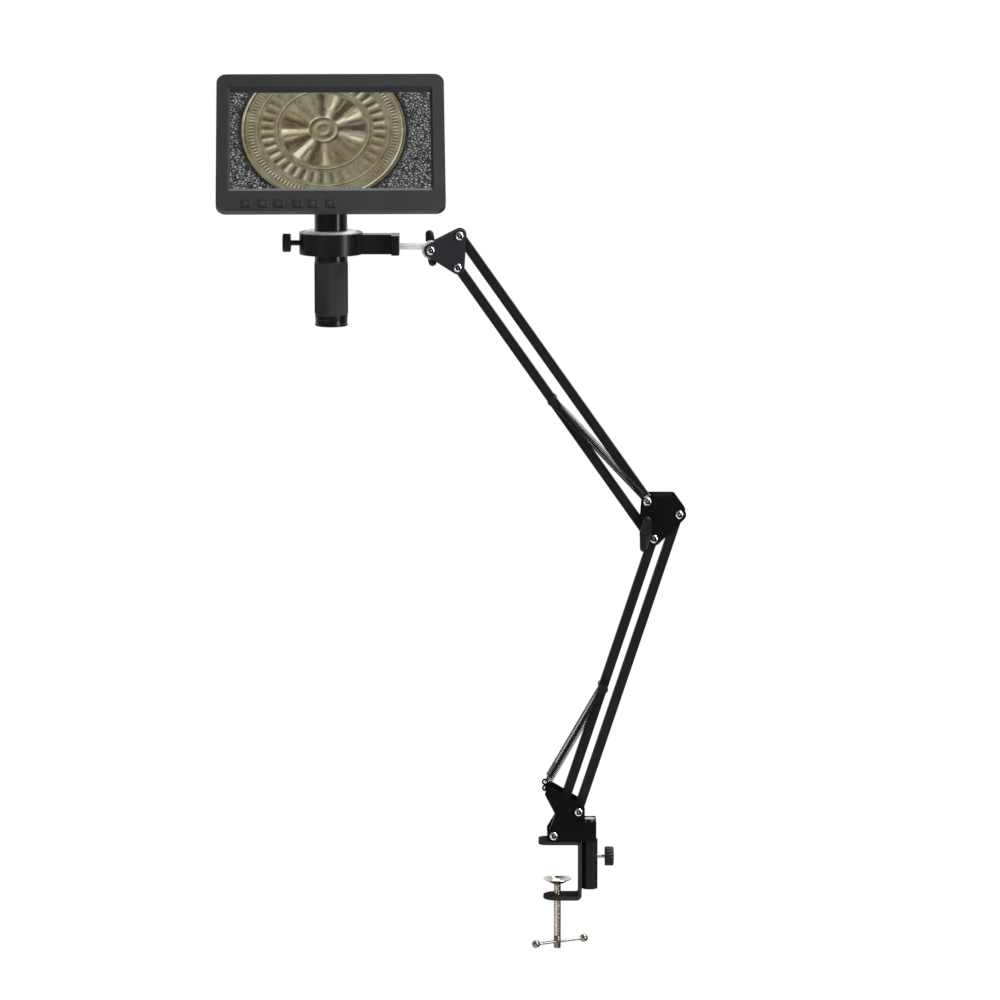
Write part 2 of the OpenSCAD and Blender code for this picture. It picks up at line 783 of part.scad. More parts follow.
module elbow_fasteners() {
    color("#c9c9cc") {
        for (at = [elbow_low_front, elbow_low_rear, elbow_up_rear]) through_bolt(at, plate_out);
        // The clamping bolt has its head behind and ends inside the wing nut
        rod_y(elbow_up_front, bolt_d, -plate_out - side_play - wing_bolt_l, plate_out + seat);
        translate([elbow_up_front[0], plate_out + seat, elbow_up_front[1]])
            rotate([-90, 0, 0]) button_head(bolt_head_d, bolt_head_h);
    }
}

module elbow_spacers() {
    color("#e4e2da") {
        for (at = [elbow_low_front, elbow_low_rear, elbow_up_front])
            front_and_back() spacer(at, bar_w / 2 + side_play, plate_in - seat);
        // The spring's loop lies between two spacers on the upper rear bolt
        front_and_back() {
            spacer(elbow_up_rear, bar_w / 2 + side_play, spring_y - wire_d / 2 - side_play);
            spacer(elbow_up_rear, spring_y + wire_d / 2 + side_play, plate_in - seat);
        }
    }
}

module elbow_wing_nut() {
    color("#2b2c30") translate([elbow_up_front[0], -plate_out - side_play, elbow_up_front[1]])
        rotate([0, 6.5, 0]) rotate([90, 0, 0]) rotate([0, 0, 90])
            wing_nut(hub_d = 13.8, lift = 4.2);
}

// ---------------------------------------------------------------- head

module head_plates() {
    color("#232428") difference() {
        front_and_back() slab(head_in, head_out)
            polygon(belt([tilt_bolt, head_front, head_rear], [corner_r, corner_r, corner_r]));
        for (at = [tilt_bolt, head_front, head_rear])
            rod_y(at, bolt_d + 2 * running, -head_out - 1, head_out + 1);
    }
}

module head_fasteners() {
    color("#c9c9cc") {
        for (at = [head_front, head_rear]) through_bolt(at, head_out);
        // The tilt bolt ends inside the wing nut at the back
        rod_y(tilt_bolt, bolt_d, -head_out - seat, head_out + side_play + wing_bolt_l);
        translate([tilt_bolt[0], -head_out - seat, tilt_bolt[1]]) rotate([90, 0, 0])
            button_head(bolt_head_d, bolt_head_h);
    }
}

module head_spacers() {
    color("#e4e2da") front_and_back() {
        for (at = [head_front, head_rear]) spacer(at, bar_w / 2 + side_play, head_in - seat);
        spacer(tilt_bolt, rod_d / 2 + side_play, head_in - seat);
    }
}

module head_wing_nut() {
    color("#1d1e21") translate([tilt_bolt[0], head_out + side_play, tilt_bolt[1]])
        rotate([0, -6, 0]) rotate([-90, 0, 0]) rotate([0, 0, 90])
            wing_nut(hub_d = 12, lift = 3.2);
}

// ---------------------------------------------------------------- holder

module support_rod() {
    color("#d0d0d4") difference() {
        union() {
            rod_y(tilt_bolt, 2 * eye_r, -eye_t / 2, eye_t / 2);
            rod_x(0, rod_z, rod_d, end_plate_x - end_plate_t + 2, tilt_bolt[0] - rod_d / 2);
        }
        rod_y(tilt_bolt, bolt_d + 2 * running, -rod_d, rod_d);
    }
}

module ring_holder() {
    arm_low = holder_arm_z - holder_arm_h / 2;
    plate_back = 12;
    color("#1b1c1f") difference() {
        union() {
            translate([ring_x, 0, ring_bottom]) cylinder(d = ring_d, h = ring_h, $fn = 96);
            translate([ring_x + ring_d / 2 - 6, -holder_arm_t / 2, arm_low])
                cube([holder_reach - ring_d / 2 + 5, holder_arm_t, holder_arm_h]);
            translate([0, 0, arm_low]) linear_extrude(holder_arm_h)
                polygon(rounded(
                    [[end_plate_x - end_plate_t, plate_back - end_plate_w],
                     [end_plate_x, plate_back - end_plate_w], [end_plate_x, plate_back],
                     [end_plate_x - end_plate_t, plate_back]], [1.5, 1.5, 1.5, 1.5]));
        }
        translate([ring_x, 0, ring_bottom - 1])
            cylinder(d = sleeve_d + 2 * sliding, h = ring_h + 2, $fn = 96);
        rod_x(0, rod_z, rod_d + 2 * seat, end_plate_x - end_plate_t + 2 - seat, end_plate_x + 1);
        rod_x(0, ring_z, thumb_shank_d + 2 * running, ring_x - ring_d, ring_x);
    }
}

module ring_thumbscrew() {
    ribs = 20;
    knob_out = ring_x - ring_d / 2 - thumb_gap;
    color("#1b1c1f") {
        difference() {
            rod_x(0, ring_z, thumb_knob_d, knob_out - thumb_knob_t, knob_out);
            for (i = [0 : ribs - 1])
                translate([knob_out - thumb_knob_t - 1, 0, ring_z]) rotate([360 * i / ribs, 0, 0])
                    translate([0, 0, thumb_knob_d / 2 + 0.5]) rotate([0, 90, 0])
                        cylinder(r = 1, h = thumb_knob_t + 2, $fn = 16);
        }
        rod_x(0, ring_z, thumb_shank_d, knob_out, ring_x - sleeve_d / 2 - sliding - seat);
    }
}

// The sleeve stands out of the top of the ring with a sloped lip
module reducing_sleeve() {
    color("#c4c5c9") translate([ring_x, 0, ring_bottom]) difference() {
        union() {
            translate([0, 0, sleeve_recess])
                cylinder(d = sleeve_d, h = ring_h - sleeve_recess, $fn = 96);
            translate([0, 0, ring_h])
                cylinder(d1 = sleeve_d, d2 = sleeve_lip_d, h = sleeve_lip, $fn = 96);
        }
        cylinder(d = tube_d + 2 * sliding, h = ring_h + sleeve_lip + 1, $fn = 72);
    }
}

// ---------------------------------------------------------------- microscope tube

module tube_housing() {
    height = tube_top - collar_bottom;
    color("#15161a") translate([ring_x, 0, collar_bottom]) difference() {
        cylinder(d = tube_d, h = height, $fn = 72);
        translate([0, 0, tube_floor])
            cylinder(d = tube_d - 2 * tube_wall, h = height - 2 * tube_floor, $fn = 72);
        translate([0, 0, -1]) cylinder(d = barrel_d + 2 * seat, h = tube_floor + 2, $fn = 72);
    }
}

module inner_barrel() {
    color("#2a2b2f") translate([ring_x, 0, 0]) difference() {
        translate([0, 0, nose_top + seat])
            cylinder(d = barrel_d, h = collar_bottom + tube_floor - nose_top - 2 * seat, $fn = 72);
        translate([0, 0, nose_top - 1])
            cylinder(d = barrel_bore, h = collar_bottom - nose_top + 10, $fn = 72);
    }
}

module focus_ring() {
    color("#2b2c30") translate([ring_x, 0, grip_bottom]) difference() {
        union() {
            cylinder(d = grip_d - 1, h = grip_h, $fn = 72);
            translate([0, 0, 2]) cylinder(d = grip_d, h = grip_h - 4, $fn = 72);
        }
        translate([0, 0, -1]) cylinder(d = barrel_d + 2 * sliding, h = grip_h + 2, $fn = 72);
        for (i = [0 : grip_ribs - 1]) rotate([0, 0, 360 * i / grip_ribs])
            translate([grip_d / 2, 0, 4]) rotate([0, 0, 45])
                translate([-0.35, -0.35, 0]) cube([0.7, 0.7, grip_h - 8]);
    }
}

module lens_cell() {
    color("#1b1c1f") translate([ring_x, 0, lens_z]) difference() {
        cylinder(d = barrel_bore - 2 * sliding, h = 18, $fn = 64);
        translate([0, 0, -1]) cylinder(d = lens_d - 6, h = cell_floor + 2);
        translate([0, 0, cell_floor]) cylinder(d = lens_d, h = 18);
    }
}

// Three glass elements with two rings between them, each as [start, thickness]
module objective_lens() {
    elements = [[0, 3], [4, 2.4], [8, 4]];
    rings = [[3, 1], [6.4, 1.6]];
    color("#a8c4d8") translate([ring_x, 0, lens_z + cell_floor + seat]) {
        for (part = elements)
            translate([0, 0, part[0]]) cylinder(d = lens_d - 2 * seat, h = part[1]);
        for (part = rings) translate([0, 0, part[0]]) difference() {
            cylinder(d = lens_d - 2 * seat, h = part[1]);
            translate([0, 0, -1]) cylinder(d = lens_d - 3, h = part[1] + 2);
        }
    }
}

module sensor_board() {
    color("#1f5a3c") translate([ring_x, 0, collar_bottom + tube_floor + seat]) difference() {
        cylinder(d = tube_d - 2 * tube_wall - 2 * seat, h = board_t, $fn = 64);
        for (x = [-12, 12]) translate([x, 0, -1]) cylinder(d = 2.4, h = 4, $fn = 16);
    }
}

module image_sensor() {
    color("#30343c") translate([ring_x, 0, collar_bottom + tube_floor])
        translate([-5, -4, -2]) cube([10, 8, 2]);
}

// Ring-shaped board with white light emitters on its underside
module light_board() {
    emitters = 8;
    translate([ring_x, 0, nose_top - 3]) {
        color("#1f5a3c") difference() {
            cylinder(d = barrel_d - 3 - 2 * seat, h = board_t, $fn = 64);
            translate([0, 0, -1]) cylinder(d = 15, h = 4);
        }
        color("#f4f1d8") for (i = [0 : emitters - 1])
            rotate([0, 0, 360 * i / emitters]) translate([9, -1.4, -1.2])
                cube([2.8, 2.8, 1.2 + seat]);
    }
}

// The nose has a rounded lip below and two raised bands above
module nose_ring() {
    neck_r = grip_d / 2 - 1;
    band_r = grip_d / 2 - 0.3;
    lip_r = grip_d / 2 - 0.2;
    color("#15161a") translate([ring_x, 0, nose_bottom]) difference() {
        rotate_extrude($fn = 72) polygon([
            [0, 0], [lip_r - 1.2, 0], [lip_r, 1], [lip_r, 2.6],
            [neck_r, 3.4], [neck_r, nose_h - 4.2],
            [band_r, nose_h - 3.8], [band_r, nose_h - 2.8],
            [neck_r, nose_h - 2.4], [neck_r, nose_h - 1.6],
            [band_r, nose_h - 1.2], [band_r, nose_h], [0, nose_h]
        ]);
        translate([0, 0, 4]) cylinder(d = barrel_d - 3, h = nose_h, $fn = 72);
        translate([0, 0, -1]) cylinder(d1 = 29, d2 = 26, h = 3.01);
        translate([0, 0, 1.9]) cylinder(d = 26, h = 4);
    }
}

module nose_window() {
    color("#cfe0ea") translate([ring_x, 0, nose_bottom + 4 + seat])
        cylinder(d = barrel_d - 3 - 2 * seat, h = 1.2, $fn = 64);
}

// Frame whose Z is the axis of the tube, turned with it
module on_tube() {
    translate([ring_x, 0, 0]) rotate([0, 0, scope_turn]) children();
}

// Block on top of the tube that carries the hinge pin
module hinge_yoke() {
    foot_z = tube_top + seat;
    color("#1b1c1f") on_tube() difference() {
        union() {
            translate([-yoke_w / 2, 0, 0]) rotate([90, 0, 90]) linear_extrude(yoke_w)
                polygon(concat(
                    [[hinge_y + knuckle_r, foot_z], [hinge_y + knuckle_r, hinge_z]],
                    [[hinge_y - knuckle_r, hinge_z], [hinge_y - knuckle_r + 1, foot_z]]));
            rod_x(hinge_y, hinge_z, 2 * knuckle_r, -yoke_w / 2, yoke_w / 2);
            translate([0, 0, foot_z]) cylinder(d = tube_d - 2, h = 3, $fn = 72);
        }
        rod_x(hinge_y, hinge_z, hinge_pin_d + 2 * seat, -yoke_w, yoke_w);
    }
}

module hinge_pin() {
    reach = yoke_w / 2 + turn_gap + lug_w + side_play;
    head_t = 1.2;
    color("#c9c9cc") on_tube() {
        rod_x(hinge_y, hinge_z, hinge_pin_d, -reach, reach);
        for (x = [-reach - head_t, reach])
            rod_x(hinge_y, hinge_z, hinge_pin_d + 3, x, x + head_t);
    }
}

// ---------------------------------------------------------------- screen unit

module on_screen_unit() {
    on_tube() translate([0, hinge_y, hinge_z]) rotate([90 - screen_tilt, 0, 0]) children();
}

// Flat outline of the casing, drawn in by `inset`
module case_outline(inset) {
    polygon(rounded_box([-screen_w / 2 + inset, case_low + inset],
                        [screen_w / 2 - inset, case_high - inset],
                        max(1, case_corner_r - inset)));
}

// Box between two corners in the frame of the screen unit
module block(low, high) {
    translate(low) cube(high - low);
}

// Round column at each screw of the casing, between two heights
module at_screws(d, z0, z1) {
    for (x = [screw_inset - screen_w / 2, screen_w / 2 - screw_inset],
         y = [case_low + screw_inset, case_high - screw_inset])
        translate([x, y, z0]) cylinder(d = d, h = z1 - z0, $fn = 24);
}

module front_frame() {
    hole = button_w / 2 + button_gap;
    flange_t = 1.2;
    color("#333439") on_screen_unit() difference() {
        union() {
            difference() {
                translate([0, 0, case_split + seat])
                    linear_extrude(frame_depth - seat) case_outline(0);
                translate([0, 0, case_split + flange_t])
                    linear_extrude(frame_depth - flange_t - bevel_depth)
                        case_outline(case_wall);
                translate([0, 0, case_split - 1])
                    linear_extrude(flange_t + 2) case_outline(rim_inset + case_wall);
            }
            at_screws(case_screw_d + 4, case_split + seat, panel_front + 1);
        }
        // Window with sloped edges
        hull() {
            block([-picture_w / 2, picture_low, panel_front - 0.01],
                  [picture_w / 2, picture_high, panel_front]);
            block([-picture_w / 2 - bevel_side, picture_low - bevel_bottom, frame_front],
                  [picture_w / 2 + bevel_side, picture_high + bevel_top, frame_front + 0.01]);
        }
        for (x = button_places)
            block([x - hole, button_y - hole, case_split],
                  [x + hole, button_y + hole, frame_front + 1]);
        translate([light_place[0], light_place[1], case_split])
            cylinder(d = 2 + 2 * seat, h = frame_depth + 1, $fn = 24);
        at_screws(case_screw_d + 2 * seat, case_split - 1, case_split + 4);
    }
}

module rear_cover() {
    floor_z = cover_back + case_wall;
    lug_r = knuckle_r - 1;
    slots = 9;
    slot_pitch = 8;
    slot_l = 20;
    slot_w = 3;
    slot_drop = 28;
    slot_low = case_high - slot_drop - slot_l;
    color("#2b2c30") on_screen_unit() difference() {
        union() {
            difference() {
                union() {
                    translate([0, 0, cover_back + cover_step])
                        linear_extrude(cover_depth - cover_step) case_outline(rim_inset);
                    translate([0, 0, cover_back])
                        linear_extrude(cover_depth) case_outline(cover_inset);
                }
                translate([0, 0, floor_z])
                    linear_extrude(cover_depth) case_outline(cover_inset + case_wall);
                translate([0, 0, floor_z + cover_step])
                    linear_extrude(cover_depth) case_outline(rim_inset + case_wall);
            }
            // Lugs that hold the hinge pin
            for (x = [-yoke_w / 2 - turn_gap - lug_w, yoke_w / 2 + turn_gap]) {
                rod_x(0, 0, 2 * lug_r, x, x + lug_w);
                block([x, -lug_r, 0], [x + lug_w, lug_r, cover_back + 1]);
            }
            // Posts under the main board, and columns round the screws
            for (x = [board_left + 8, board_right - 8], y = [8 - board_h / 2, board_h / 2 - 8])
                translate([x, case_mid + y, cover_back + 1])
                    cylinder(d = 6, h = board_z - seat - cover_back - 1, $fn = 24);
            at_screws(case_screw_d + 4, cover_back + 1, case_split);
        }
        rod_x(0, 0, hinge_pin_d + 2 * running, -yoke_w, yoke_w);
        for (i = [0 : slots - 1])
            translate([(i - (slots - 1) / 2) * slot_pitch, slot_low, cover_back - 1])
                cube([slot_w, slot_l, case_wall + 2]);
        at_screws(case_screw_d + 0.6, cover_back - 1, case_split + 1);
        at_screws(6.4, cover_back - 1, cover_back + 0.6);
        // Opening in the right side for the row of sockets
        block([port_x + 2, case_mid - port_row / 2, port_z - turn_gap],
              [screen_w / 2, case_mid + port_row / 2, port_z + port_size[2] + turn_gap]);
    }
}

module picture_panel() {
    color("#4b4a3a") on_screen_unit()
        block([-picture_w / 2 - panel_edge, picture_low - panel_edge, panel_front - panel_t],
              [picture_w / 2 + panel_edge, picture_high + panel_edge, panel_front - seat]);
}

// Board with a processor and a memory chip, each as [place across, place up, side] in
// parts of the board's width and height
module main_board() {
    chips = [[0.28, -0.15, 0.2], [0.6, 0.15, 0.14]];
    chip_t = 1.4;
    color("#1f5a3c") on_screen_unit() translate([board_left, case_mid, board_z]) {
        translate([0, -board_h / 2, 0]) cube([board_w, board_h, board_t]);
        for (chip = chips)
            translate([chip[0] * board_w, chip[1] * board_h, board_t])
                cube([chip[2] * board_w, chip[2] * board_w, chip_t]);
    }
}

// Sockets on the edge of the main board
module port_block() {
    wall = 0.7;
    color("#9a9ba0") on_screen_unit() for (i = [0 : ports - 1])
        translate([port_x, case_mid - port_row / 2 + 2 + i * port_pitch, port_z]) difference() {
            cube(port_size);
            translate([2, wall, wall])
                cube(port_size - [0, 2 * wall, 2 * wall]);
        }
}

module battery_pack() {
    color("#6b7a88") on_screen_unit()
        block([battery_right - battery_w, case_mid - battery_h / 2,
               cover_back + case_wall + seat],
              [battery_right, case_mid + battery_h / 2, case_split + 0.5]);
}

module button_board() {
    low = case_low + rim_inset + case_wall + 0.4;
    reach = button_steps[2] + button_w / 2 + 7;
    color("#1f5a3c") on_screen_unit() {
        block([row_x - reach, low, button_board_z - board_t],
              [row_x + reach, low + 14, button_board_z]);
        for (x = button_places)
            block([x - 3, button_y - 3, button_board_z],
                  [x + 3, button_y + 3, button_board_z + switch_h]);
    }
}

module status_light() {
    start = button_board_z + seat;
    color("#8fa3b0") on_screen_unit() translate([light_place[0], light_place[1], start])
        cylinder(d = 2, h = frame_front - 0.1 - start, $fn = 24);
}

module case_screws() {
    head = cover_back + 0.2;
    color("#c9c9cc") on_screen_unit() difference() {
        union() {
            at_screws(5.8, head, cover_back + 0.6 - seat);
            at_screws(case_screw_d, head, case_split + 3.5);
        }
        at_screws(1.6, head - 1, head + 0.8);
    }
}

module button(index) {
    x = button_places[index];
    half = button_w / 2;
    low = button_board_z + switch_h + button_travel + 0.2;
    color("#2a2b2f") on_screen_unit() {
        block([x - half, button_y - half, panel_front],
              [x + half, button_y + half, frame_front + button_proud]);
        block([x - 2, button_y - 2, low], [x + 2, button_y + 2, panel_front]);
    }
}

module button_1() { button(0); }
module button_2() { button(1); }
module button_3() { button(2); }
module button_4() { button(3); }
module button_5() { button(4); }
module button_6() { button(5); }

// ---------------------------------------------------------------- springs

// Coils of the lower springs, with their loops on the pin of the lower front bar
module lower_springs() {
    first = pin_loop_r + wire_d;
    color("#3a3b40") front_and_back() along(lower_pin, hook_hole) {
        spring_loop(pin_loop_r, first + wire_d);
        spring_coils(first, norm(lower_pin - hook_hole) - hook_leg);
    }
}

// Legs that hook into the ears of the base bracket and reach into the coils
module lower_spring_hooks() {
    color("#3a3b40") front_and_back() along(hook_hole, lower_pin) {
        rod_x(spring_y, 0, shank_d, 0, hook_leg + hook_leg_in);
        rod_y([0, 0], shank_d, spring_y, plate_out + 1.5);
        translate([0, spring_y, 0]) sphere(d = wire_d, $fn = 16);
    }
}

// Coils of the upper springs, with their loops on the upper rear bolt of the elbow
module upper_springs() {
    first = spacer_d / 2 + turn_gap;
    color("#3a3b40") front_and_back() along(elbow_up_rear, upper_pin) {
        spring_loop(bolt_loop_r, first + wire_d);
        spring_coils(first, norm(upper_pin - elbow_up_rear) - pin_loop_r - wire_d);
    }
}

// Loops on the pin of the upper front bar, with legs that reach into the coils
module upper_spring_legs() {
    color("#3a3b40") front_and_back() along(upper_pin, elbow_up_rear)
        spring_loop(pin_loop_r, pin_loop_r + wire_d + upper_leg_in);
}

clamp_frame();
clamp_socket();
pressure_pad();
clamp_screw();
tommy_bar();
lock_knob_stud();
lock_knob();
base_bracket();
swivel_pin();
base_fasteners();
base_spacers();
lower_rear_bar();
lower_front_bar();
lower_spring_pin();
elbow_bracket();
elbow_fasteners();
elbow_spacers();
elbow_wing_nut();
upper_rear_bar();
upper_front_bar();
upper_spring_pin();
head_plates();
head_fasteners();
head_spacers();
head_wing_nut();
support_rod();
ring_holder();
ring_thumbscrew();
reducing_sleeve();
tube_housing();
inner_barrel();
sensor_board();
image_sensor();
light_board();
nose_ring();
nose_window();
hinge_yoke();
hinge_pin();
focus_ring();
lens_cell();
objective_lens();
front_frame();
rear_cover();
picture_panel();
main_board();
battery_pack();
button_board();
case_screws();
port_block();
status_light();
button_1();
button_2();
button_3();
button_4();
button_5();
button_6();
lower_springs();
lower_spring_hooks();
upper_springs();
upper_spring_legs();
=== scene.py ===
"""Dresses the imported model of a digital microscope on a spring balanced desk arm."""

import json
import math

import bpy
from bpy.props import FloatProperty, FloatVectorProperty, IntProperty, PointerProperty
from mathutils import Matrix, Vector


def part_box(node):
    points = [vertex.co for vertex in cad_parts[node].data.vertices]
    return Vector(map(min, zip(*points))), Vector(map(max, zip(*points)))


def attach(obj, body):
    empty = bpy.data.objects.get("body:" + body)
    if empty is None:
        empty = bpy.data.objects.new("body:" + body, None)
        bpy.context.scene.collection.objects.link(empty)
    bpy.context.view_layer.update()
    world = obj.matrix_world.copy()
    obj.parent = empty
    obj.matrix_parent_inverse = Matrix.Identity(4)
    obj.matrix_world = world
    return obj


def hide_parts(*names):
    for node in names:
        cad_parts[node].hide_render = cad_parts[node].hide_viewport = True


bl_info = {
    "name": "Microscope on a desk arm",
    "version": (1, 0, 0),
    "blender": (4, 5, 0),
    "location": "View3D > Sidebar > Microscope",
    "description": "Builds the finishes and fine pieces of the microscope, its screen and its arm",
    "category": "Object",
}

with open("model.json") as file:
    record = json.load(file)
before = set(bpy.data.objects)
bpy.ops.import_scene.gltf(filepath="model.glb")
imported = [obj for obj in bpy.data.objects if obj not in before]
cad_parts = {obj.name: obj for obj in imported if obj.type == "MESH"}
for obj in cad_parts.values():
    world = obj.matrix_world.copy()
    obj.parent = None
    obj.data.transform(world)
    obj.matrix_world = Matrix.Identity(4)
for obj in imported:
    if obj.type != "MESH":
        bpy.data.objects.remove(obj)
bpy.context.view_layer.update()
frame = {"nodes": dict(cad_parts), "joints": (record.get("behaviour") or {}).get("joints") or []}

MM = 0.001
SIDE_TO_SIDE = Vector((1, 0, 0))
FRONT_TO_BACK = Vector((0, 1, 0))
UPWARDS = Vector((0, 0, 1))


# ------------------------------------------------------------------ sizes and colours


def length_property(name, description, default, low, high):
    """Property for a length, from numbers in millimetres."""
    return FloatProperty(
        name=name, description=description,
        default=default * MM, min=low * MM, max=high * MM, unit="LENGTH",
    )


def colour_property(name, description, default):
    """Property for a colour."""
    return FloatVectorProperty(
        name=name, description=description, default=default, subtype="COLOR", size=3, min=0, max=1,
    )


class MicroscopeSizes(bpy.types.PropertyGroup):
    """Sizes of the fine pieces"""

    soft_edge: length_property(
        "Soft edge", "Width of the rounding on painted and moulded edges", 0.35, 0.05, 1.5)
    case_edge: length_property(
        "Casing edge", "Width of the rounding on the rim of the screen's casing", 1.1, 0.2, 2)
    bolt_diameter: length_property(
        "Bolt diameter", "Diameter of the pivot bolts", 6, 5, 6.5)
    bolt_head: length_property(
        "Bolt head", "Diameter of the domed heads of the pivot bolts", 10, 9, 10.5)
    bolt_head_height: length_property(
        "Bolt head height", "Height of the domed heads of the pivot bolts", 3.1, 2.5, 3.2)
    spring_diameter: length_property(
        "Spring diameter", "Outer diameter of the balance springs", 8, 6, 8)
    spring_wire: length_property(
        "Spring wire", "Diameter of the wire of the balance springs", 1.1, 0.8, 1.2)
    spring_pitch: length_property(
        "Spring pitch", "Distance from one coil of the balance springs to the next", 1.85, 1.3, 3)
    screw_diameter: length_property(
        "Clamp screw diameter", "Outer diameter of the clamp screw", 8, 6, 8)
    screw_pitch: length_property(
        "Clamp screw pitch", "Pitch of the clamp screw's thread", 1.25, 1, 2)
    wing_span: length_property(
        "Wing span", "Length of the wing nuts from tip to tip", 41, 30, 41)
    picture_width: length_property(
        "Picture width", "Width of the lit picture", 222.7, 200, 223)
    picture_height: length_property(
        "Picture height", "Height of the lit picture", 125.3, 110, 126)
    disc_diameter: length_property(
        "Disc diameter", "Diameter of the magnified disc in the picture", 184, 100, 220)
    wire_sides: IntProperty(
        name="Wire sides", description="Number of flat faces round the spring wire",
        default=8, min=5, max=16,
    )


class MicroscopeColours(bpy.types.PropertyGroup):
    """Colours of the finishes"""

    paint: colour_property(
        "Arm paint", "Black paint of the arm's tubes", (0.012, 0.012, 0.014))
    bracket: colour_property(
        "Bracket paint", "Black paint of the folded brackets of base and elbow",
        (0.0085, 0.008, 0.0085))
    head: colour_property(
        "Head paint", "Charcoal paint of the head's plates", (0.029, 0.028, 0.034))
    clamp: colour_property(
        "Clamp coat", "Powder coat of the clamp", (0.038, 0.038, 0.039))
    casing: colour_property(
        "Casing", "Charcoal plastic of the screen's casing", (0.0145, 0.0145, 0.0175))
    anodised: colour_property(
        "Anodised black", "Black of the ring holder and its thumbscrew", (0.008, 0.008, 0.009))
    tube: colour_property(
        "Gloss black", "Glossy black of the microscope tube", (0.004, 0.004, 0.0045))
    grip: colour_property(
        "Grip", "Matte black of the focus ring", (0.024, 0.024, 0.0265))
    knob: colour_property(
        "Knobs", "Moulded black of the knobs and wing nuts", (0.008, 0.008, 0.009))
    chrome: colour_property(
        "Plated steel", "Bright plating of bolts, stud and hinge pin", (0.72, 0.71, 0.69))
    nickel: colour_property(
        "Nickel", "Warm nickel plating of the clamp's pad, screw and bar", (0.64, 0.58, 0.52))
    nylon: colour_property(
        "Nylon", "Natural nylon of the spacers", (0.72, 0.71, 0.66))
    disc: colour_property(
        "Disc", "Middle tone of the magnified disc in the picture", (0.215, 0.2, 0.13))


# ------------------------------------------------------------------ places from the frame

JOINTS = {joint["name"]: joint for joint in frame["joints"]}


def pivot(joint):
    """Place of a joint's axis at rest."""
    return Vector(JOINTS[joint]["pos_m"])


def middle(node):
    """Centre of a solid's box."""
    low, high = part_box(node)
    return (low + high) / 2


def lying(low, high):
    """Left end, radius and length of a round solid that lies along X in the arm's plane, from
    the corners of its box."""
    end = Vector((low.x, 0, (low.z + high.z) / 2))
    return end, (high.z - low.z) / 2, high.x - low.x


def at_depth(point, y):
    """Point moved along Y to a depth."""
    return Vector((point.x, y, point.z))


def beside(side):
    """Step from the arm's plane to the springs on one side."""
    return Vector((0, side * SPRING_Y, 0))


BASE_FRONT = pivot("lower_arm")
BASE_REAR = pivot("lower_link")
ELBOW_LOW_FRONT = pivot("elbow_link")
ELBOW_LOW_REAR = BASE_REAR + ELBOW_LOW_FRONT - BASE_FRONT
ELBOW_UP_FRONT = pivot("upper_arm")
ELBOW_UP_REAR = pivot("upper_link")
HEAD_FRONT = pivot("head_link")
HEAD_REAR = ELBOW_UP_REAR + HEAD_FRONT - ELBOW_UP_FRONT
TILT_BOLT = pivot("holder_tilt")
LOWER_PIN = pivot("lower_spring_turn")
HOOK_HOLE = pivot("lower_hook_turn")
UPPER_PIN = middle("upper_spring_pin")
HINGE = pivot("screen_tilt")
PLATE_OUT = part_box("base_bracket")[1].y
HEAD_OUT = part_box("head_plates")[1].y
SPRING_Y = (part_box("upper_spring_legs")[1].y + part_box("upper_springs")[1].y) / 2
# Gap under a bolt's head and a nut
SEAT = 0.02 * MM

# Limits for the rounding of the solids: vertices nearer than the gap are one vertex, faces
# within the flat limit are one face, and edges past the slope limit count as shallow slopes
FACET_GAP = 0.004 * MM
FLAT_LIMIT = math.radians(1)
SLOPE_LIMIT = math.radians(15)


# ------------------------------------------------------------------ mesh building


def skin(rings, around, closed=True):
    """Faces over rings of vertices. A closed skin gets a flat at each end."""
    faces = []
    for ring in range(rings - 1):
        low, high = ring * around, (ring + 1) * around
        for i in range(around):
            j = (i + 1) % around
            faces.append((low + i, low + j, high + j, high + i))
    if closed:
        faces.append(tuple(reversed(range(around))))
        last = (rings - 1) * around
        faces.append(tuple(range(last, last + around)))
    return faces


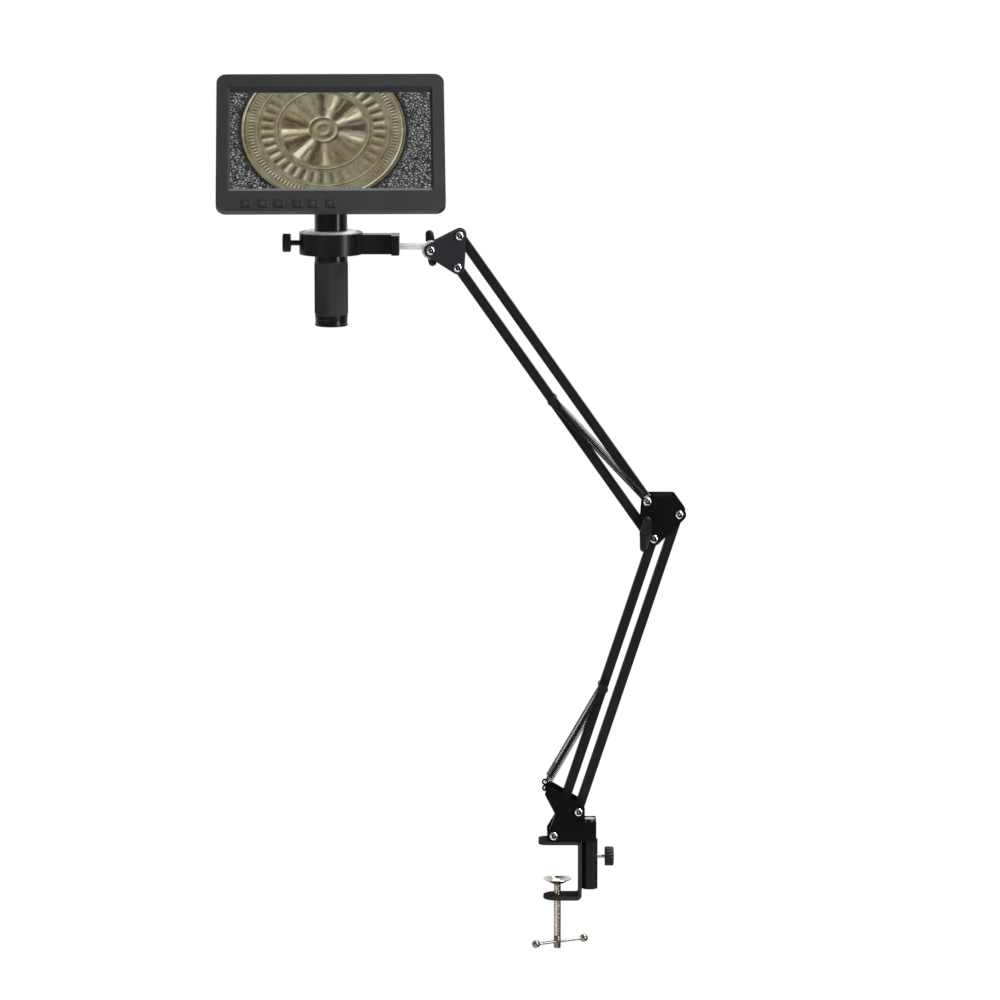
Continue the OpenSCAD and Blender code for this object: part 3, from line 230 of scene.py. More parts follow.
class Mould:
    """Collects the vertices and faces of one piece."""

    def __init__(self):
        self.vertices = []
        self.faces = []
        self.finishes = []

    def add(self, vertices, faces, place=Matrix(), finish=0):
        """Adds vertices and faces, moved by a matrix."""
        first = len(self.vertices)
        self.vertices += [place @ Vector(vertex) for vertex in vertices]
        self.faces += [[first + corner for corner in face] for face in faces]
        self.finishes += [finish] * len(faces)

    def turned(self, profile, place=Matrix(), segments=48, finish=0, closed=True):
        """Adds a turned shape about Z. The profile holds (radius, height) pairs, in which a
        radius may be a function of the angle. A closed shape gets a flat at each end."""
        vertices = []
        for radius, height in profile:
            for i in range(segments):
                angle = math.tau * i / segments
                r = radius(angle) if callable(radius) else radius
                vertices.append((r * math.cos(angle), r * math.sin(angle), height))
        self.add(vertices, skin(len(profile), segments, closed), place, finish)

    def pipe(self, path, radius, sides):
        """Adds a round bar of wire along a path of points."""
        path = [Vector(point) for point in path]
        along = (path[1] - path[0]).normalized()
        across = along.orthogonal().normalized()
        vertices = []
        for i, point in enumerate(path):
            before, after = path[max(i - 1, 0)], path[min(i + 1, len(path) - 1)]
            along = (after - before).normalized()
            across = (across - along * across.dot(along)).normalized()
            third = along.cross(across)
            for k in range(sides):
                angle = math.tau * k / sides
                spoke = math.cos(angle) * across + math.sin(angle) * third
                vertices.append(point + radius * spoke)
        self.add(vertices, skin(len(path), sides))

    def loft(self, sections, place=Matrix()):
        """Adds a skin over sections that all have the same number of points."""
        vertices = [point for section in sections for point in section]
        self.add(vertices, skin(len(sections), len(sections[0])), place)

    def piece(self, name, body, slot, materials, nodes=(), place=Matrix(), sharp=35):
        """Makes the object, hands it to its body and hides the solids it stands for."""
        mesh = bpy.data.meshes.new(name)
        mesh.from_pydata(self.vertices, [], self.faces)
        for material in materials:
            mesh.materials.append(material)
        mesh.polygons.foreach_set("material_index", self.finishes)
        mesh.polygons.foreach_set("use_smooth", [True] * len(mesh.polygons))
        mesh.set_sharp_from_angle(angle=math.radians(sharp))
        mesh.update()
        thing = bpy.data.objects.new(name, mesh)
        bpy.context.scene.collection.objects.link(thing)
        thing.matrix_world = place
        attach(thing, body)
        if nodes:
            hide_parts(*nodes)
        return thing


def facing(direction, point, spin=0.0):
    """Matrix that turns Z to a direction and moves the origin to a point."""
    turn = Vector(direction).to_track_quat("Z", "Y").to_matrix().to_4x4()
    return Matrix.Translation(point) @ turn @ Matrix.Rotation(spin, 4, "Z")


def hexagon(across_flats):
    """Radius of a hexagon by angle."""
    sector = math.pi / 3
    return lambda angle: across_flats / 2 / math.cos(angle % sector - sector / 2)


def ribbed(radius, depth, ribs, sharpness=1.0):
    """Radius of a ribbed knob by angle."""
    return lambda angle: radius - depth * abs(math.sin(ribs * angle / 2)) ** sharpness


def soften(node, width, material, angle=32, flatten=False, crisp=0.0):
    """Gives a solid its finish, rounds its edges and can merge the facets of its flats. A
    crisp width keeps the shading of shallow slopes flat up to their edges."""
    thing = frame["nodes"][node]
    for index in range(len(thing.data.materials)):
        thing.data.materials[index] = material
    if not thing.data.materials:
        thing.data.materials.append(material)
    weld = thing.modifiers.new("Join the facets", "WELD")
    weld.merge_threshold = FACET_GAP
    if flatten:
        flats = thing.modifiers.new("Merge the flats", "DECIMATE")
        flats.decimate_type = "DISSOLVE"
        flats.angle_limit = FLAT_LIMIT
    if width > 0:
        bevel = thing.modifiers.new("Round the edges", "BEVEL")
        bevel.width = width
        bevel.segments = 3
        bevel.limit_method = "ANGLE"
        bevel.angle_limit = math.radians(angle)
        bevel.miter_outer = "MITER_ARC"
    if crisp > 0:
        ridge = thing.modifiers.new("Keep the slopes crisp", "BEVEL")
        ridge.width = crisp
        ridge.segments = 1
        ridge.limit_method = "ANGLE"
        ridge.angle_limit = SLOPE_LIMIT
    normals = thing.modifiers.new("Even out the shading", "WEIGHTED_NORMAL")
    normals.keep_sharp = True


# ------------------------------------------------------------------ shader building


class Graph:
    """Adds nodes to a tree, so that a formula takes a line for each step."""

    def __init__(self, tree):
        self.tree = tree

    def node(self, kind, **settings):
        """Adds a node and sets its properties."""
        made = self.tree.nodes.new(kind)
        for name, value in settings.items():
            setattr(made, name, value)
        return made

    def feed(self, socket, value):
        """Links an output to a socket, or sets the socket to a plain value."""
        if isinstance(value, bpy.types.NodeSocket):
            self.tree.links.new(value, socket)
        else:
            socket.default_value = value

    def math(self, operation, a, b=0.0, c=0.0):
        """Result of a Math node."""
        made = self.node("ShaderNodeMath", operation=operation)
        for socket, value in zip(made.inputs, (a, b, c)):
            self.feed(socket, value)
        return made.outputs["Value"]

    def vector(self, operation, a, b=(0, 0, 0)):
        """Result of a Vector Math node."""
        made = self.node("ShaderNodeVectorMath", operation=operation)
        self.feed(made.inputs[0], a)
        self.feed(made.inputs[1], b)
        scalar = operation in ("LENGTH", "DOT_PRODUCT", "DISTANCE")
        return made.outputs["Value" if scalar else "Vector"]

    def scaled(self, vector, factor):
        """Vector or colour times a factor."""
        made = self.vector("SCALE", vector)
        self.feed(made.node.inputs["Scale"], factor)
        return made

    def times(self, a, b):
        """Product of two values."""
        return self.math("MULTIPLY", a, b)

    def sway(self, noise, amount, base):
        """Base value, moved up and down by a noise about 0.5."""
        return self.math("MULTIPLY_ADD", self.math("SUBTRACT", noise, 0.5), amount, base)

    def blend(self, factor, a, b):
        """Colour between two colours."""
        made = self.node("ShaderNodeMix", data_type="RGBA")
        self.feed(made.inputs["Factor"], factor)
        self.feed(made.inputs[6], a)
        self.feed(made.inputs[7], b)
        return made.outputs[2]

    def ramp(self, value, low, high, start=0.0, stop=1.0):
        """Value carried from one range to another, smoothly and within its ends."""
        made = self.node("ShaderNodeMapRange", interpolation_type="SMOOTHSTEP")
        for socket, number in zip(made.inputs, (value, low, high, start, stop)):
            self.feed(socket, number)
        return made.outputs["Result"]

    def noise(self, place, scale, detail=2.0, roughness=0.5, dimensions="3D"):
        """Value of a noise about 0.5."""
        made = self.node("ShaderNodeTexNoise", noise_dimensions=dimensions)
        self.feed(made.inputs["W" if dimensions == "1D" else "Vector"], place)
        self.feed(made.inputs["Scale"], scale)
        self.feed(made.inputs["Detail"], detail)
        self.feed(made.inputs["Roughness"], roughness)
        return made.outputs["Fac"]

    def place(self):
        """Position in the piece's own frame, in metres."""
        return self.node("ShaderNodeTexCoord").outputs["Object"]


# Outputs of the groups for surfaces
SURFACE = (("Color", "Color"), ("Roughness", "Float"), ("Height", "Float"))


def new_group(name, inputs, outputs):
    """Starts a node group and returns it with its graph, its inputs and its outputs."""
    tree = bpy.data.node_groups.new(name, "ShaderNodeTree")
    for label, kind, default in inputs:
        socket = tree.interface.new_socket(label, in_out="INPUT", socket_type="NodeSocket" + kind)
        socket.default_value = default
    for label, kind in outputs:
        tree.interface.new_socket(label, in_out="OUTPUT", socket_type="NodeSocket" + kind)
    start = tree.nodes.new("NodeGroupInput")
    stop = tree.nodes.new("NodeGroupOutput")
    return tree, Graph(tree), start.outputs, stop.inputs


def fine_grain():
    """Group for moulded and painted surfaces: fine grain and faint clouds."""
    name = "Fine Grain"
    if name in bpy.data.node_groups:
        return bpy.data.node_groups[name]
    inputs = (
        ("Color", "Color", (0.02, 0.02, 0.02, 1)),
        ("Grain Size", "Float", 0.0004),
        ("Roughness", "Float", 0.5),
        ("Spread", "Float", 0.1),
        ("Clouds", "Float", 0.2),
    )
    tree, graph, given, wanted = new_group(name, inputs, SURFACE)
    place = graph.place()
    grain = graph.noise(place, graph.math("DIVIDE", 1.0, given["Grain Size"]), 2.0, 0.6)
    clouds = graph.noise(place, 42.0, 4.0, 0.6)
    dark = graph.scaled(given["Color"], 0.62)
    pale = graph.scaled(given["Color"], 1.45)
    tone = graph.sway(grain, 0.7, graph.sway(clouds, given["Clouds"], 0.5))
    graph.feed(wanted["Color"], graph.blend(tone, dark, pale))
    rough = graph.sway(clouds, given["Spread"], given["Roughness"])
    graph.feed(wanted["Roughness"], graph.sway(grain, given["Spread"], rough))
    graph.feed(wanted["Height"], grain)
    return tree


def turned_finish():
    """Group for turned metal: fine rings round an axis, and faint smears."""
    name = "Turned Finish"
    if name in bpy.data.node_groups:
        return bpy.data.node_groups[name]
    inputs = (
        ("Color", "Color", (0.7, 0.7, 0.7, 1)),
        ("Centre", "Vector", (0, 0, 0)),
        ("Axis", "Vector", (0, 0, 1)),
        ("Ring Size", "Float", 0.0003),
        ("Roughness", "Float", 0.25),
        ("Spread", "Float", 0.1),
    )
    tree, graph, given, wanted = new_group(name, inputs, SURFACE)
    arm = graph.vector("SUBTRACT", graph.place(), given["Centre"])
    height = graph.vector("DOT_PRODUCT", arm, given["Axis"])
    lift = graph.scaled(given["Axis"], height)
    radius = graph.vector("LENGTH", graph.vector("SUBTRACT", arm, lift))
    line = graph.math("ADD", height, radius)
    rings = graph.noise(line, graph.math("DIVIDE", 1.0, given["Ring Size"]), 2.0, 0.5, "1D")
    smears = graph.noise(graph.place(), 90.0, 3.0, 0.6)
    dark = graph.scaled(given["Color"], 0.72)
    tone = graph.sway(rings, 0.8, smears)
    graph.feed(wanted["Color"], graph.blend(graph.ramp(tone, 0.1, 0.75), dark, given["Color"]))
    rough = graph.sway(rings, given["Spread"], given["Roughness"])
    graph.feed(wanted["Roughness"], graph.sway(smears, given["Spread"], rough))
    graph.feed(wanted["Height"], rings)
    return tree


def new_material(name):
    """Starts a material and returns it with its graph and its shader."""
    material = bpy.data.materials.new(name)
    material.use_nodes = True
    tree = material.node_tree
    return material, Graph(tree), tree.nodes["Principled BSDF"]


def rgba(colour):
    """Colour with full opacity."""
    return (*colour, 1.0)


def raise_surface(graph, shader, height, distance):
    """Feeds a height to the shader's normal."""
    bump = graph.node("ShaderNodeBump")
    bump.inputs["Distance"].default_value = distance
    graph.feed(bump.inputs["Height"], height)
    graph.feed(shader.inputs["Normal"], bump.outputs["Normal"])


def surfaced(name, tree, settings, bump, metallic, specular=0.5):
    """Material whose colour, roughness and height come from a node group."""
    material, graph, shader = new_material(name)
    surface = graph.node("ShaderNodeGroup", node_tree=tree)
    for label, value in settings.items():
        surface.inputs[label].default_value = value
    graph.feed(shader.inputs["Base Color"], surface.outputs["Color"])
    graph.feed(shader.inputs["Roughness"], surface.outputs["Roughness"])
    shader.inputs["Specular IOR Level"].default_value = specular
    shader.inputs["Metallic"].default_value = metallic
    raise_surface(graph, shader, surface.outputs["Height"], bump)
    return material


def colours():
    """Colours of the scene's finishes."""
    return bpy.context.scene.microscope_colours


def sizes():
    """Sizes of the scene's fine pieces."""
    return bpy.context.scene.microscope_sizes


# Painted, anodised, moulded and plated surfaces with grain and faint clouds: the colour or its
# name, grain size in mm, roughness and its spread, clouds, height of the grain in mm, specular
COATS = {
    "Arm paint": ("paint", 0.5, 0.4, 0.12, 0.5, 0.02, 0.16),
    "Bracket paint": ("bracket", 0.35, 0.5, 0.1, 0.5, 0.015, 0.0),
    "Head paint": ("head", 0.35, 0.4, 0.1, 0.4, 0.015, 0.1),
    "Clamp coat": ("clamp", 0.9, 0.5, 0.12, 0.5, 0.04, 0.0),
    "Casing plastic": ("casing", 0.3, 0.36, 0.1, 0.3, 0.012, 0.5),
    "Button plastic": ("casing", 0.25, 0.4, 0.1, 0.3, 0.01, 0.3),
    "Anodised black": ("anodised", 0.22, 0.3, 0.08, 0.4, 0.006, 0.25),
    "Gloss black": ("tube", 0.6, 0.22, 0.06, 0.4, 0.001, 0.3),
    "Grip black": ("grip", 0.2, 0.42, 0.1, 0.3, 0.01, 0.3),
    "Knob black": ("knob", 0.3, 0.42, 0.12, 0.4, 0.015, 0.25),
    "Nylon": ("nylon", 0.4, 0.4, 0.1, 0.3, 0.004, 0.4),
    "Bolt plating": ("chrome", 0.5, 0.13, 0.1, 0.3, 0.001, 0.5),
    # Near black for the bolts' sockets: painted shade in the recess
    "Bolt recess": ((0.02, 0.018, 0.016), 0.5, 0.3, 0.1, 0.4, 0.001, 0.4),
    "Spring wire": ((0.007, 0.007, 0.008), 0.3, 0.32, 0.1, 0.6, 0.002, 0.2),
    "Sensor window": ((0.02, 0.03, 0.05), 1, 0.12, 0.05, 0.5, 0.001, 0.15),
    "Screw plating black": ((0.2, 0.2, 0.21), 0.4, 0.3, 0.1, 0.3, 0.001, 0.15),
    "Battery wrap": ((0.1, 0.15, 0.2), 2, 0.35, 0.15, 0.5, 0.05, 0.15),
    "Panel edge": ((0.01, 0.01, 0.011), 0.4, 0.4, 0.1, 0.3, 0.004, 0.15),
    "Sign print": ((0.11, 0.11, 0.12), 0.3, 0.5, 0.1, 0.3, 0.001, 0.15),
    "Light pipe": ((0.05, 0.055, 0.06), 0.4, 0.2, 0.05, 0.3, 0.001, 0.15),
}


def coat(name, shade=1.0, metallic=0.0):
    """Surface from the list of coats, with its colour times a shade."""
    if name in bpy.data.materials:
        return bpy.data.materials[name]
    colour, grain, roughness, spread, clouds, bump, specular = COATS[name]
    if isinstance(colour, str):
        colour = getattr(colours(), colour)
    settings = {
        "Color": rgba([shade * c for c in colour]), "Grain Size": grain * MM,
        "Roughness": roughness, "Spread": spread, "Clouds": clouds,
    }
    return surfaced(name, fine_grain(), settings, bump * MM, metallic, specular)


def turned(name, colour, centre, axis, ring, roughness, spread=0.1, bump=0.002 * MM, metallic=1.0):
    """Turned or plated metal with fine rings about an axis."""
    if name in bpy.data.materials:
        return bpy.data.materials[name]
    settings = {
        "Color": rgba(colour), "Centre": centre, "Axis": axis, "Ring Size": ring,
        "Roughness": roughness, "Spread": spread,
    }
    return surfaced(name, turned_finish(), settings, bump, metallic)


def plated(name, centre, axis, ring=0.35 * MM, roughness=0.14):
    """Bright plated steel, turned about an axis."""
    return turned(name, colours().chrome, centre, axis, ring, roughness, 0.08, 0.0015 * MM)


def nickel(name, centre, axis, ring, roughness=0.12, shade=1.0):
    """Warm nickel plating, turned about an axis, with its colour times a shade."""
    colour = [shade * c for c in colours().nickel]
    return turned(name, colour, centre, axis, ring, roughness, 0.06, 0.0008 * MM)


# ------------------------------------------------------------------ clamp


class MICROSCOPE_OT_clamp(bpy.types.Operator):
    """Finishes the clamp strip, its swivel socket and the swivel pin"""

    bl_idname = "microscope.clamp"
    bl_label = "Clamp"

    def execute(self, context):
        soften("clamp_frame", 1.6 * sizes().soft_edge, coat("Clamp coat"))
        soften("clamp_socket", sizes().soft_edge, coat("Arm paint"))
        steel = turned("Turned steel", (0.4, 0.4, 0.41), middle("swivel_pin"), UPWARDS,
                       0.25 * MM, 0.3, bump=0.003 * MM)
        soften("swivel_pin", 0.0, steel)
        return {"FINISHED"}


def thread(radius, depth, pitch, start, stop, steps=10):
    """Profile of a screw thread between two heights, as rings whose radius turns with it."""
    rings = []
    count = round((stop - start) / pitch * steps)
    for i in range(count + 1):
        height = start + (stop - start) * i / count
        fade = min(1.0, (height - start) / pitch, (stop - height) / pitch)

        def crest(angle, height=height, fade=max(0.0, fade)):
            turn = (height / pitch - angle / math.tau) % 1.0
            groove = 1 - abs(2 * turn - 1)
            return radius - depth * fade * min(1.0, 1.6 * groove) ** 1.2

        rings.append((crest, height))
    return rings


class MICROSCOPE_OT_clamp_screw(bpy.types.Operator):
    """Builds the pressure pad, the threaded clamp screw and the tommy bar"""

    bl_idname = "microscope.clamp_screw"
    bl_label = "Clamp screw"

    def execute(self, context):
        self.pad()
        self.screw()
        self.bar()
        return {"FINISHED"}

    def pad(self):
        """Pressed steel cup with a rolled rim."""
        low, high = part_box("pressure_pad")
        rim = high.x
        height = high.z - low.z
        foot = 0.62 * sizes().screw_diameter
        foot_height = 0.9 * MM
        hole = 0.39 * sizes().screw_diameter
        wall = 1.2 * MM
        flare = 1.4
        roll = 0.45 * MM
        roll_start = rim - 0.9 * MM
        bowl_edge = rim - 3 * MM
        bowl_foot = foot - wall
        bowl_floor = wall + 0.2 * MM
        outer = [(hole, 0.0), (foot - 1.2 * MM, 0.0), (foot - 0.3 * MM, 0.25 * MM),
                 (foot, foot_height)]
        for t in (0.1, 0.2, 0.3, 0.4, 0.5, 0.6, 0.7, 0.8, 0.9, 1.0):
            outer.append((foot + (roll_start - foot) * t,
                          foot_height + (height - 2.1 * MM) * t ** flare))
        outer += [(rim - 0.2 * MM, height - 0.75 * MM), (rim, height - roll),
                  (rim - 0.15 * MM, height - 0.1 * MM)]
        inner = [(rim - roll, height), (rim - 2.2 * MM, height), (bowl_edge, height - 0.3 * MM)]
        for t in (0.9, 0.75, 0.6, 0.45, 0.3, 0.15):
            inner.append((bowl_foot + (bowl_edge - bowl_foot) * t,
                          bowl_floor + (height - wall - 0.8 * MM) * t ** flare))
        inner += [(bowl_foot, bowl_floor), (bowl_foot - 0.6 * MM, wall), (hole, wall), (hole, 0.0)]
        cup = Mould()
        cup.turned(outer + inner, segments=96, closed=False)
        plate = nickel("Pad plating", (0, 0, 0), UPWARDS, 0.9 * MM)
        cup.piece("pad_cup", "pressure_pad", "chrome", [plate], ["pressure_pad"],
                  Matrix.Translation((0, 0, low.z)), sharp=50)

    def screw(self):
        """Screw with its thread, a plain boss for the tommy bar and a chamfered end."""
        low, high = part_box("clamp_screw")
        start = low.z
        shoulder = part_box("pressure_pad")[0].z - 0.3 * MM
        radius = sizes().screw_diameter / 2
        boss = start + 15 * MM
        plain = [(0.2 * MM, start), (radius - 0.9 * MM, start),
                 (radius - 0.3 * MM, start + 0.3 * MM), (radius, start + 0.9 * MM),
                 (radius, boss - 0.8 * MM), (radius - 0.4 * MM, boss - 0.3 * MM)]
        rod = Mould()
        rod.turned(plain, finish=1, closed=False)
        # The neck is riveted over inside the pad's cup
        neck = radius - MM
        cup_floor = shoulder + 2.1 * MM
        threaded = plain[-1:]
        threaded += thread(radius, 0.05 * MM, sizes().screw_pitch, boss, shoulder - MM)
        threaded += [(radius - 0.2 * MM, shoulder - 0.7 * MM),
                     (radius - 0.5 * MM, shoulder - 0.1 * MM), (neck, shoulder),
                     (neck, cup_floor), (neck + 1.2 * MM, cup_floor),
                     (neck + 0.7 * MM, high.z - 0.4 * MM), (neck - 0.2 * MM, high.z),
                     (0.2 * MM, high.z)]
        rod.turned(threaded, closed=False)
        plate = nickel("Screw plating", (0, 0, 0), UPWARDS, 1.2 * MM, 0.22)
        # The plain boss and end take the nickel at 0.4 of its colour, darker and rougher than the
        # thread
        dull = turned("Worn nickel", [0.4 * c for c in colours().nickel], (0, 0, 0), UPWARDS,
                      0.8 * MM, 0.3)
        rod.piece("threaded_screw", "clamp_screw", "chrome", [plate, dull], ["clamp_screw"],
                  sharp=40)

    def bar(self):
        """Sliding bar with a ball at each end, on small collars."""
        low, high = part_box("tommy_bar")
        along = Vector(JOINTS["tommy_slide"]["axis"]).normalized()
        centre = (low + high) / 2
        ball = (high.z - low.z) / 2
        ball_steps = 18
        reach = ((high - low).x / 2 - ball) / along.x
        radius = 1.8 * MM
        thinnest = 0.05 * MM
        profile = []
        for i in range(ball_steps + 1):
            angle = math.pi * i / ball_steps
            around = ball * math.sin(angle)
            if angle > math.pi / 2 and around < radius + 0.5 * MM:
                break
            profile.append((max(around, thinnest), -reach - ball * math.cos(angle)))
        collar = profile[-1][1]
        profile += [(radius + 0.6 * MM, collar + 0.2 * MM), (radius + 0.6 * MM, collar + MM),
                    (radius, collar + 1.3 * MM)]
        profile += [(r, -z) for r, z in reversed(profile)]
        bar = Mould()
        bar.turned(profile, facing(along, centre), segments=40)
        plate = nickel("Bar plating", centre, along, 1.2 * MM, 0.18, 0.5)
        bar.piece("sliding_bar", "tommy_bar", "chrome", [plate], ["tommy_bar"], sharp=45)


class MICROSCOPE_OT_lock_knob(bpy.types.Operator):
    """Builds the ribbed lock knob and its stud"""

    bl_idname = "microscope.lock_knob"
    bl_label = "Lock knob"

    def execute(self, context):
        centre, radius, depth = lying(*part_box("lock_knob"))
        self.knob(centre, radius, depth)
        self.stud(centre)
        return {"FINISHED"}

    def knob(self, centre, radius, depth):
        """Ribbed knob with a dished face."""
        dish = depth - 0.8 * MM
        land = depth - 0.3 * MM
        ribs = 18
        side = ribbed(radius, 0.9 * MM, ribs, 1.6)
        edge = ribbed(radius - 0.7 * MM, 0.7 * MM, ribs, 1.6)
        profile = [
            (2.7 * MM, 1.2 * MM), (5 * MM, 1.2 * MM), (5.4 * MM, 0.8 * MM), (5.6 * MM, 0.1 * MM),
            (6.2 * MM, 0.0), (radius - 2 * MM, 0.0), (edge, 0.2 * MM), (side, 0.9 * MM),
            (side, depth - 1.6 * MM), (edge, dish), (radius - 2.2 * MM, land),
            (radius - 3 * MM, land), (radius - 3.5 * MM, dish), (3.6 * MM, dish),
            (3.2 * MM, land), (1.2 * MM, depth), (0.2 * MM, depth)]
        knob = Mould()
        knob.turned(profile, facing(SIDE_TO_SIDE, centre), segments=12 * ribs)
        knob.piece("knob_grip", "lock_knob", "knob_black", [coat("Knob black")], ["lock_knob"],
                   sharp=40)

    def stud(self, centre):
        """Threaded stud that presses on the swivel pin."""
        start, radius, length = lying(*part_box("lock_knob_stud"))
        start.z = centre.z
        profile = [(0.2 * MM, 0.0), (radius - 0.7 * MM, 0.0), (radius - 0.2 * MM, 0.6 * MM)]
        profile += thread(radius, 0.4 * MM, 0.8 * MM, 0.8 * MM, length - 0.2 * MM, 8)
        profile += [(0.2 * MM, length)]
        stud = Mould()
        stud.turned(profile, facing(SIDE_TO_SIDE, start), segments=32)
        plate = plated("Stud plating", centre, SIDE_TO_SIDE, 0.3 * MM, 0.2)
        stud.piece("knob_stud", "lock_knob", "chrome", [plate], ["lock_knob_stud"], sharp=40)


# ------------------------------------------------------------------ arm


class MICROSCOPE_OT_brackets(bpy.types.Operator):
    """Finishes the folded brackets of base, elbow and head"""

    bl_idname = "microscope.brackets"
    bl_label = "Brackets"

    def execute(self, context):
        for node in ("base_bracket", "elbow_bracket"):
            soften(node, sizes().soft_edge, coat("Bracket paint"), flatten=True)
        soften("head_plates", sizes().soft_edge, coat("Head paint"), flatten=True)
        return {"FINISHED"}


class MICROSCOPE_OT_bars(bpy.types.Operator):
    """Finishes the four square tubes, their spring pins and the nylon spacers"""

    bl_idname = "microscope.bars"
    bl_label = "Arm bars"

    def execute(self, context):
        for node in ("lower_rear_bar", "lower_front_bar", "upper_rear_bar", "upper_front_bar"):
            soften(node, 0.8 * MM, coat("Arm paint"))
        for node in ("lower_spring_pin", "upper_spring_pin"):
            soften(node, 0.4 * MM, coat("Knob black"))
        for node in ("base_spacers", "elbow_spacers", "head_spacers"):
            soften(node, 0.25 * MM, coat("Nylon"))
        return {"FINISHED"}


def bolt(mould, point, front, back, spin=0.0):
    """Bolt along Y, with a hexagon socket in a domed head at the front."""
    size = sizes()
    radius = size.bolt_head / 2
    height = size.bolt_head_height
    shank = size.bolt_diameter / 2
    place = facing(-FRONT_TO_BACK, at_depth(point, front - SEAT), spin)
    rim = 0.25 * height
    dome_end = math.radians(72)
    dome_steps = 6
    dome = [(shank, 0.0), (radius, 0.0), (radius, rim)]
    for i in range(1, dome_steps + 1):
        angle = dome_end * i / dome_steps
        rise = (height - rim) * math.sin(angle) / math.sin(dome_end)
        dome.append((radius * (0.34 + 0.66 * math.cos(angle)), rim + rise))
    lip = (0.31 * size.bolt_head, 0.97 * height)
    mould.turned(dome + [lip], place, closed=False)
    socket = hexagon(0.5 * size.bolt_head)
    foot = 0.1 * size.bolt_head
    floor = 0.26 * height
    # The socket's walls and floor take the second finish, near black: painted shade in the recess
    recess = [lip, (socket, 0.9 * height), (socket, 0.3 * height), (foot, floor)]
    mould.turned(recess, place, finish=1, closed=False)
    button = [(foot, floor), (0.9 * foot, 0.5 * height), (0.55 * foot, 0.62 * height),
              (0.05 * foot, 0.66 * height)]
    mould.turned(button, place, closed=False)
    mould.turned([(shank, -SEAT), (shank, back - front + SEAT)],
                 facing(FRONT_TO_BACK, at_depth(point, front)), segments=32)


def nut(mould, point, back, spin=0.0):
    """Lock nut with a rounded crown, and the threaded end of its bolt."""
    size = sizes().bolt_diameter
    bore = 0.5 * size
    flats = hexagon(1.64 * size)
    rim = hexagon(1.5 * size)
    crown = 0.72 * size
    profile = [
        (bore, 0.0), (rim, 0.0), (flats, 0.3 * MM), (flats, 0.62 * size), (rim, 0.7 * size),
        (crown, 0.7 * size), (crown, 0.84 * size), (crown - 0.4 * MM, 0.93 * size),
        (bore, 0.95 * size)]
    mould.turned(profile, facing(FRONT_TO_BACK, at_depth(point, back + SEAT), spin))
    end = [(0.2 * MM, 0.0)] + thread(bore, 0.35 * MM, MM, 0.0, 0.97 * size, 8)
    end += [(0.2 * MM, size)]
    mould.turned(end, facing(FRONT_TO_BACK, at_depth(point, back)), segments=32)


class MICROSCOPE_OT_bolts(bpy.types.Operator):
    """Builds the pivot bolts with their socket heads and lock nuts"""

    bl_idname = "microscope.bolts"
    bl_label = "Bolts"

    def execute(self, context):
        # The second finish is the painted shade in the bolts' sockets
        steel = [coat("Bolt plating", metallic=1.0), coat("Bolt recess")]
        # A clamping bolt stands out by this much and ends in a wing nut
        clamping = 7 * MM
        base = self.pivots(PLATE_OUT, (BASE_FRONT, 0.3), (BASE_REAR, 0.7))
        base.piece("base_bolts", "turret", "chrome", steel, ["base_fasteners"], sharp=38)
        elbow = self.pivots(
            PLATE_OUT, (ELBOW_LOW_FRONT, 0.2), (ELBOW_LOW_REAR, 0.5), (ELBOW_UP_REAR, 0.9))
        # The elbow's clamping bolt points the other way, into the wing nut in front
        turn = (Matrix.Translation(ELBOW_UP_FRONT) @ Matrix.Rotation(math.pi, 4, "Z")
                @ Matrix.Translation(-ELBOW_UP_FRONT))
        turned_bolt = Mould()
        bolt(turned_bolt, ELBOW_UP_FRONT, -PLATE_OUT, PLATE_OUT + clamping)
        elbow.add(turned_bolt.vertices, turned_bolt.faces, turn)
        elbow.finishes[-len(turned_bolt.faces):] = turned_bolt.finishes
        elbow.piece("elbow_bolts", "elbow", "chrome", steel, ["elbow_fasteners"], sharp=38)
        head = self.pivots(HEAD_OUT, (HEAD_FRONT, 0.1), (HEAD_REAR, 0.6))
        bolt(head, TILT_BOLT, -HEAD_OUT, HEAD_OUT + clamping, 0.4)
        head.piece("head_bolts", "head", "chrome", steel, ["head_fasteners"], sharp=38)
        return {"FINISHED"}

    def pivots(self, out, *places):
        """Bolts with lock nuts through plates whose faces are this far out."""
        mould = Mould()
        for point, spin in places:
            bolt(mould, point, -out, out, spin)
            nut(mould, point, out, spin)
        return mould


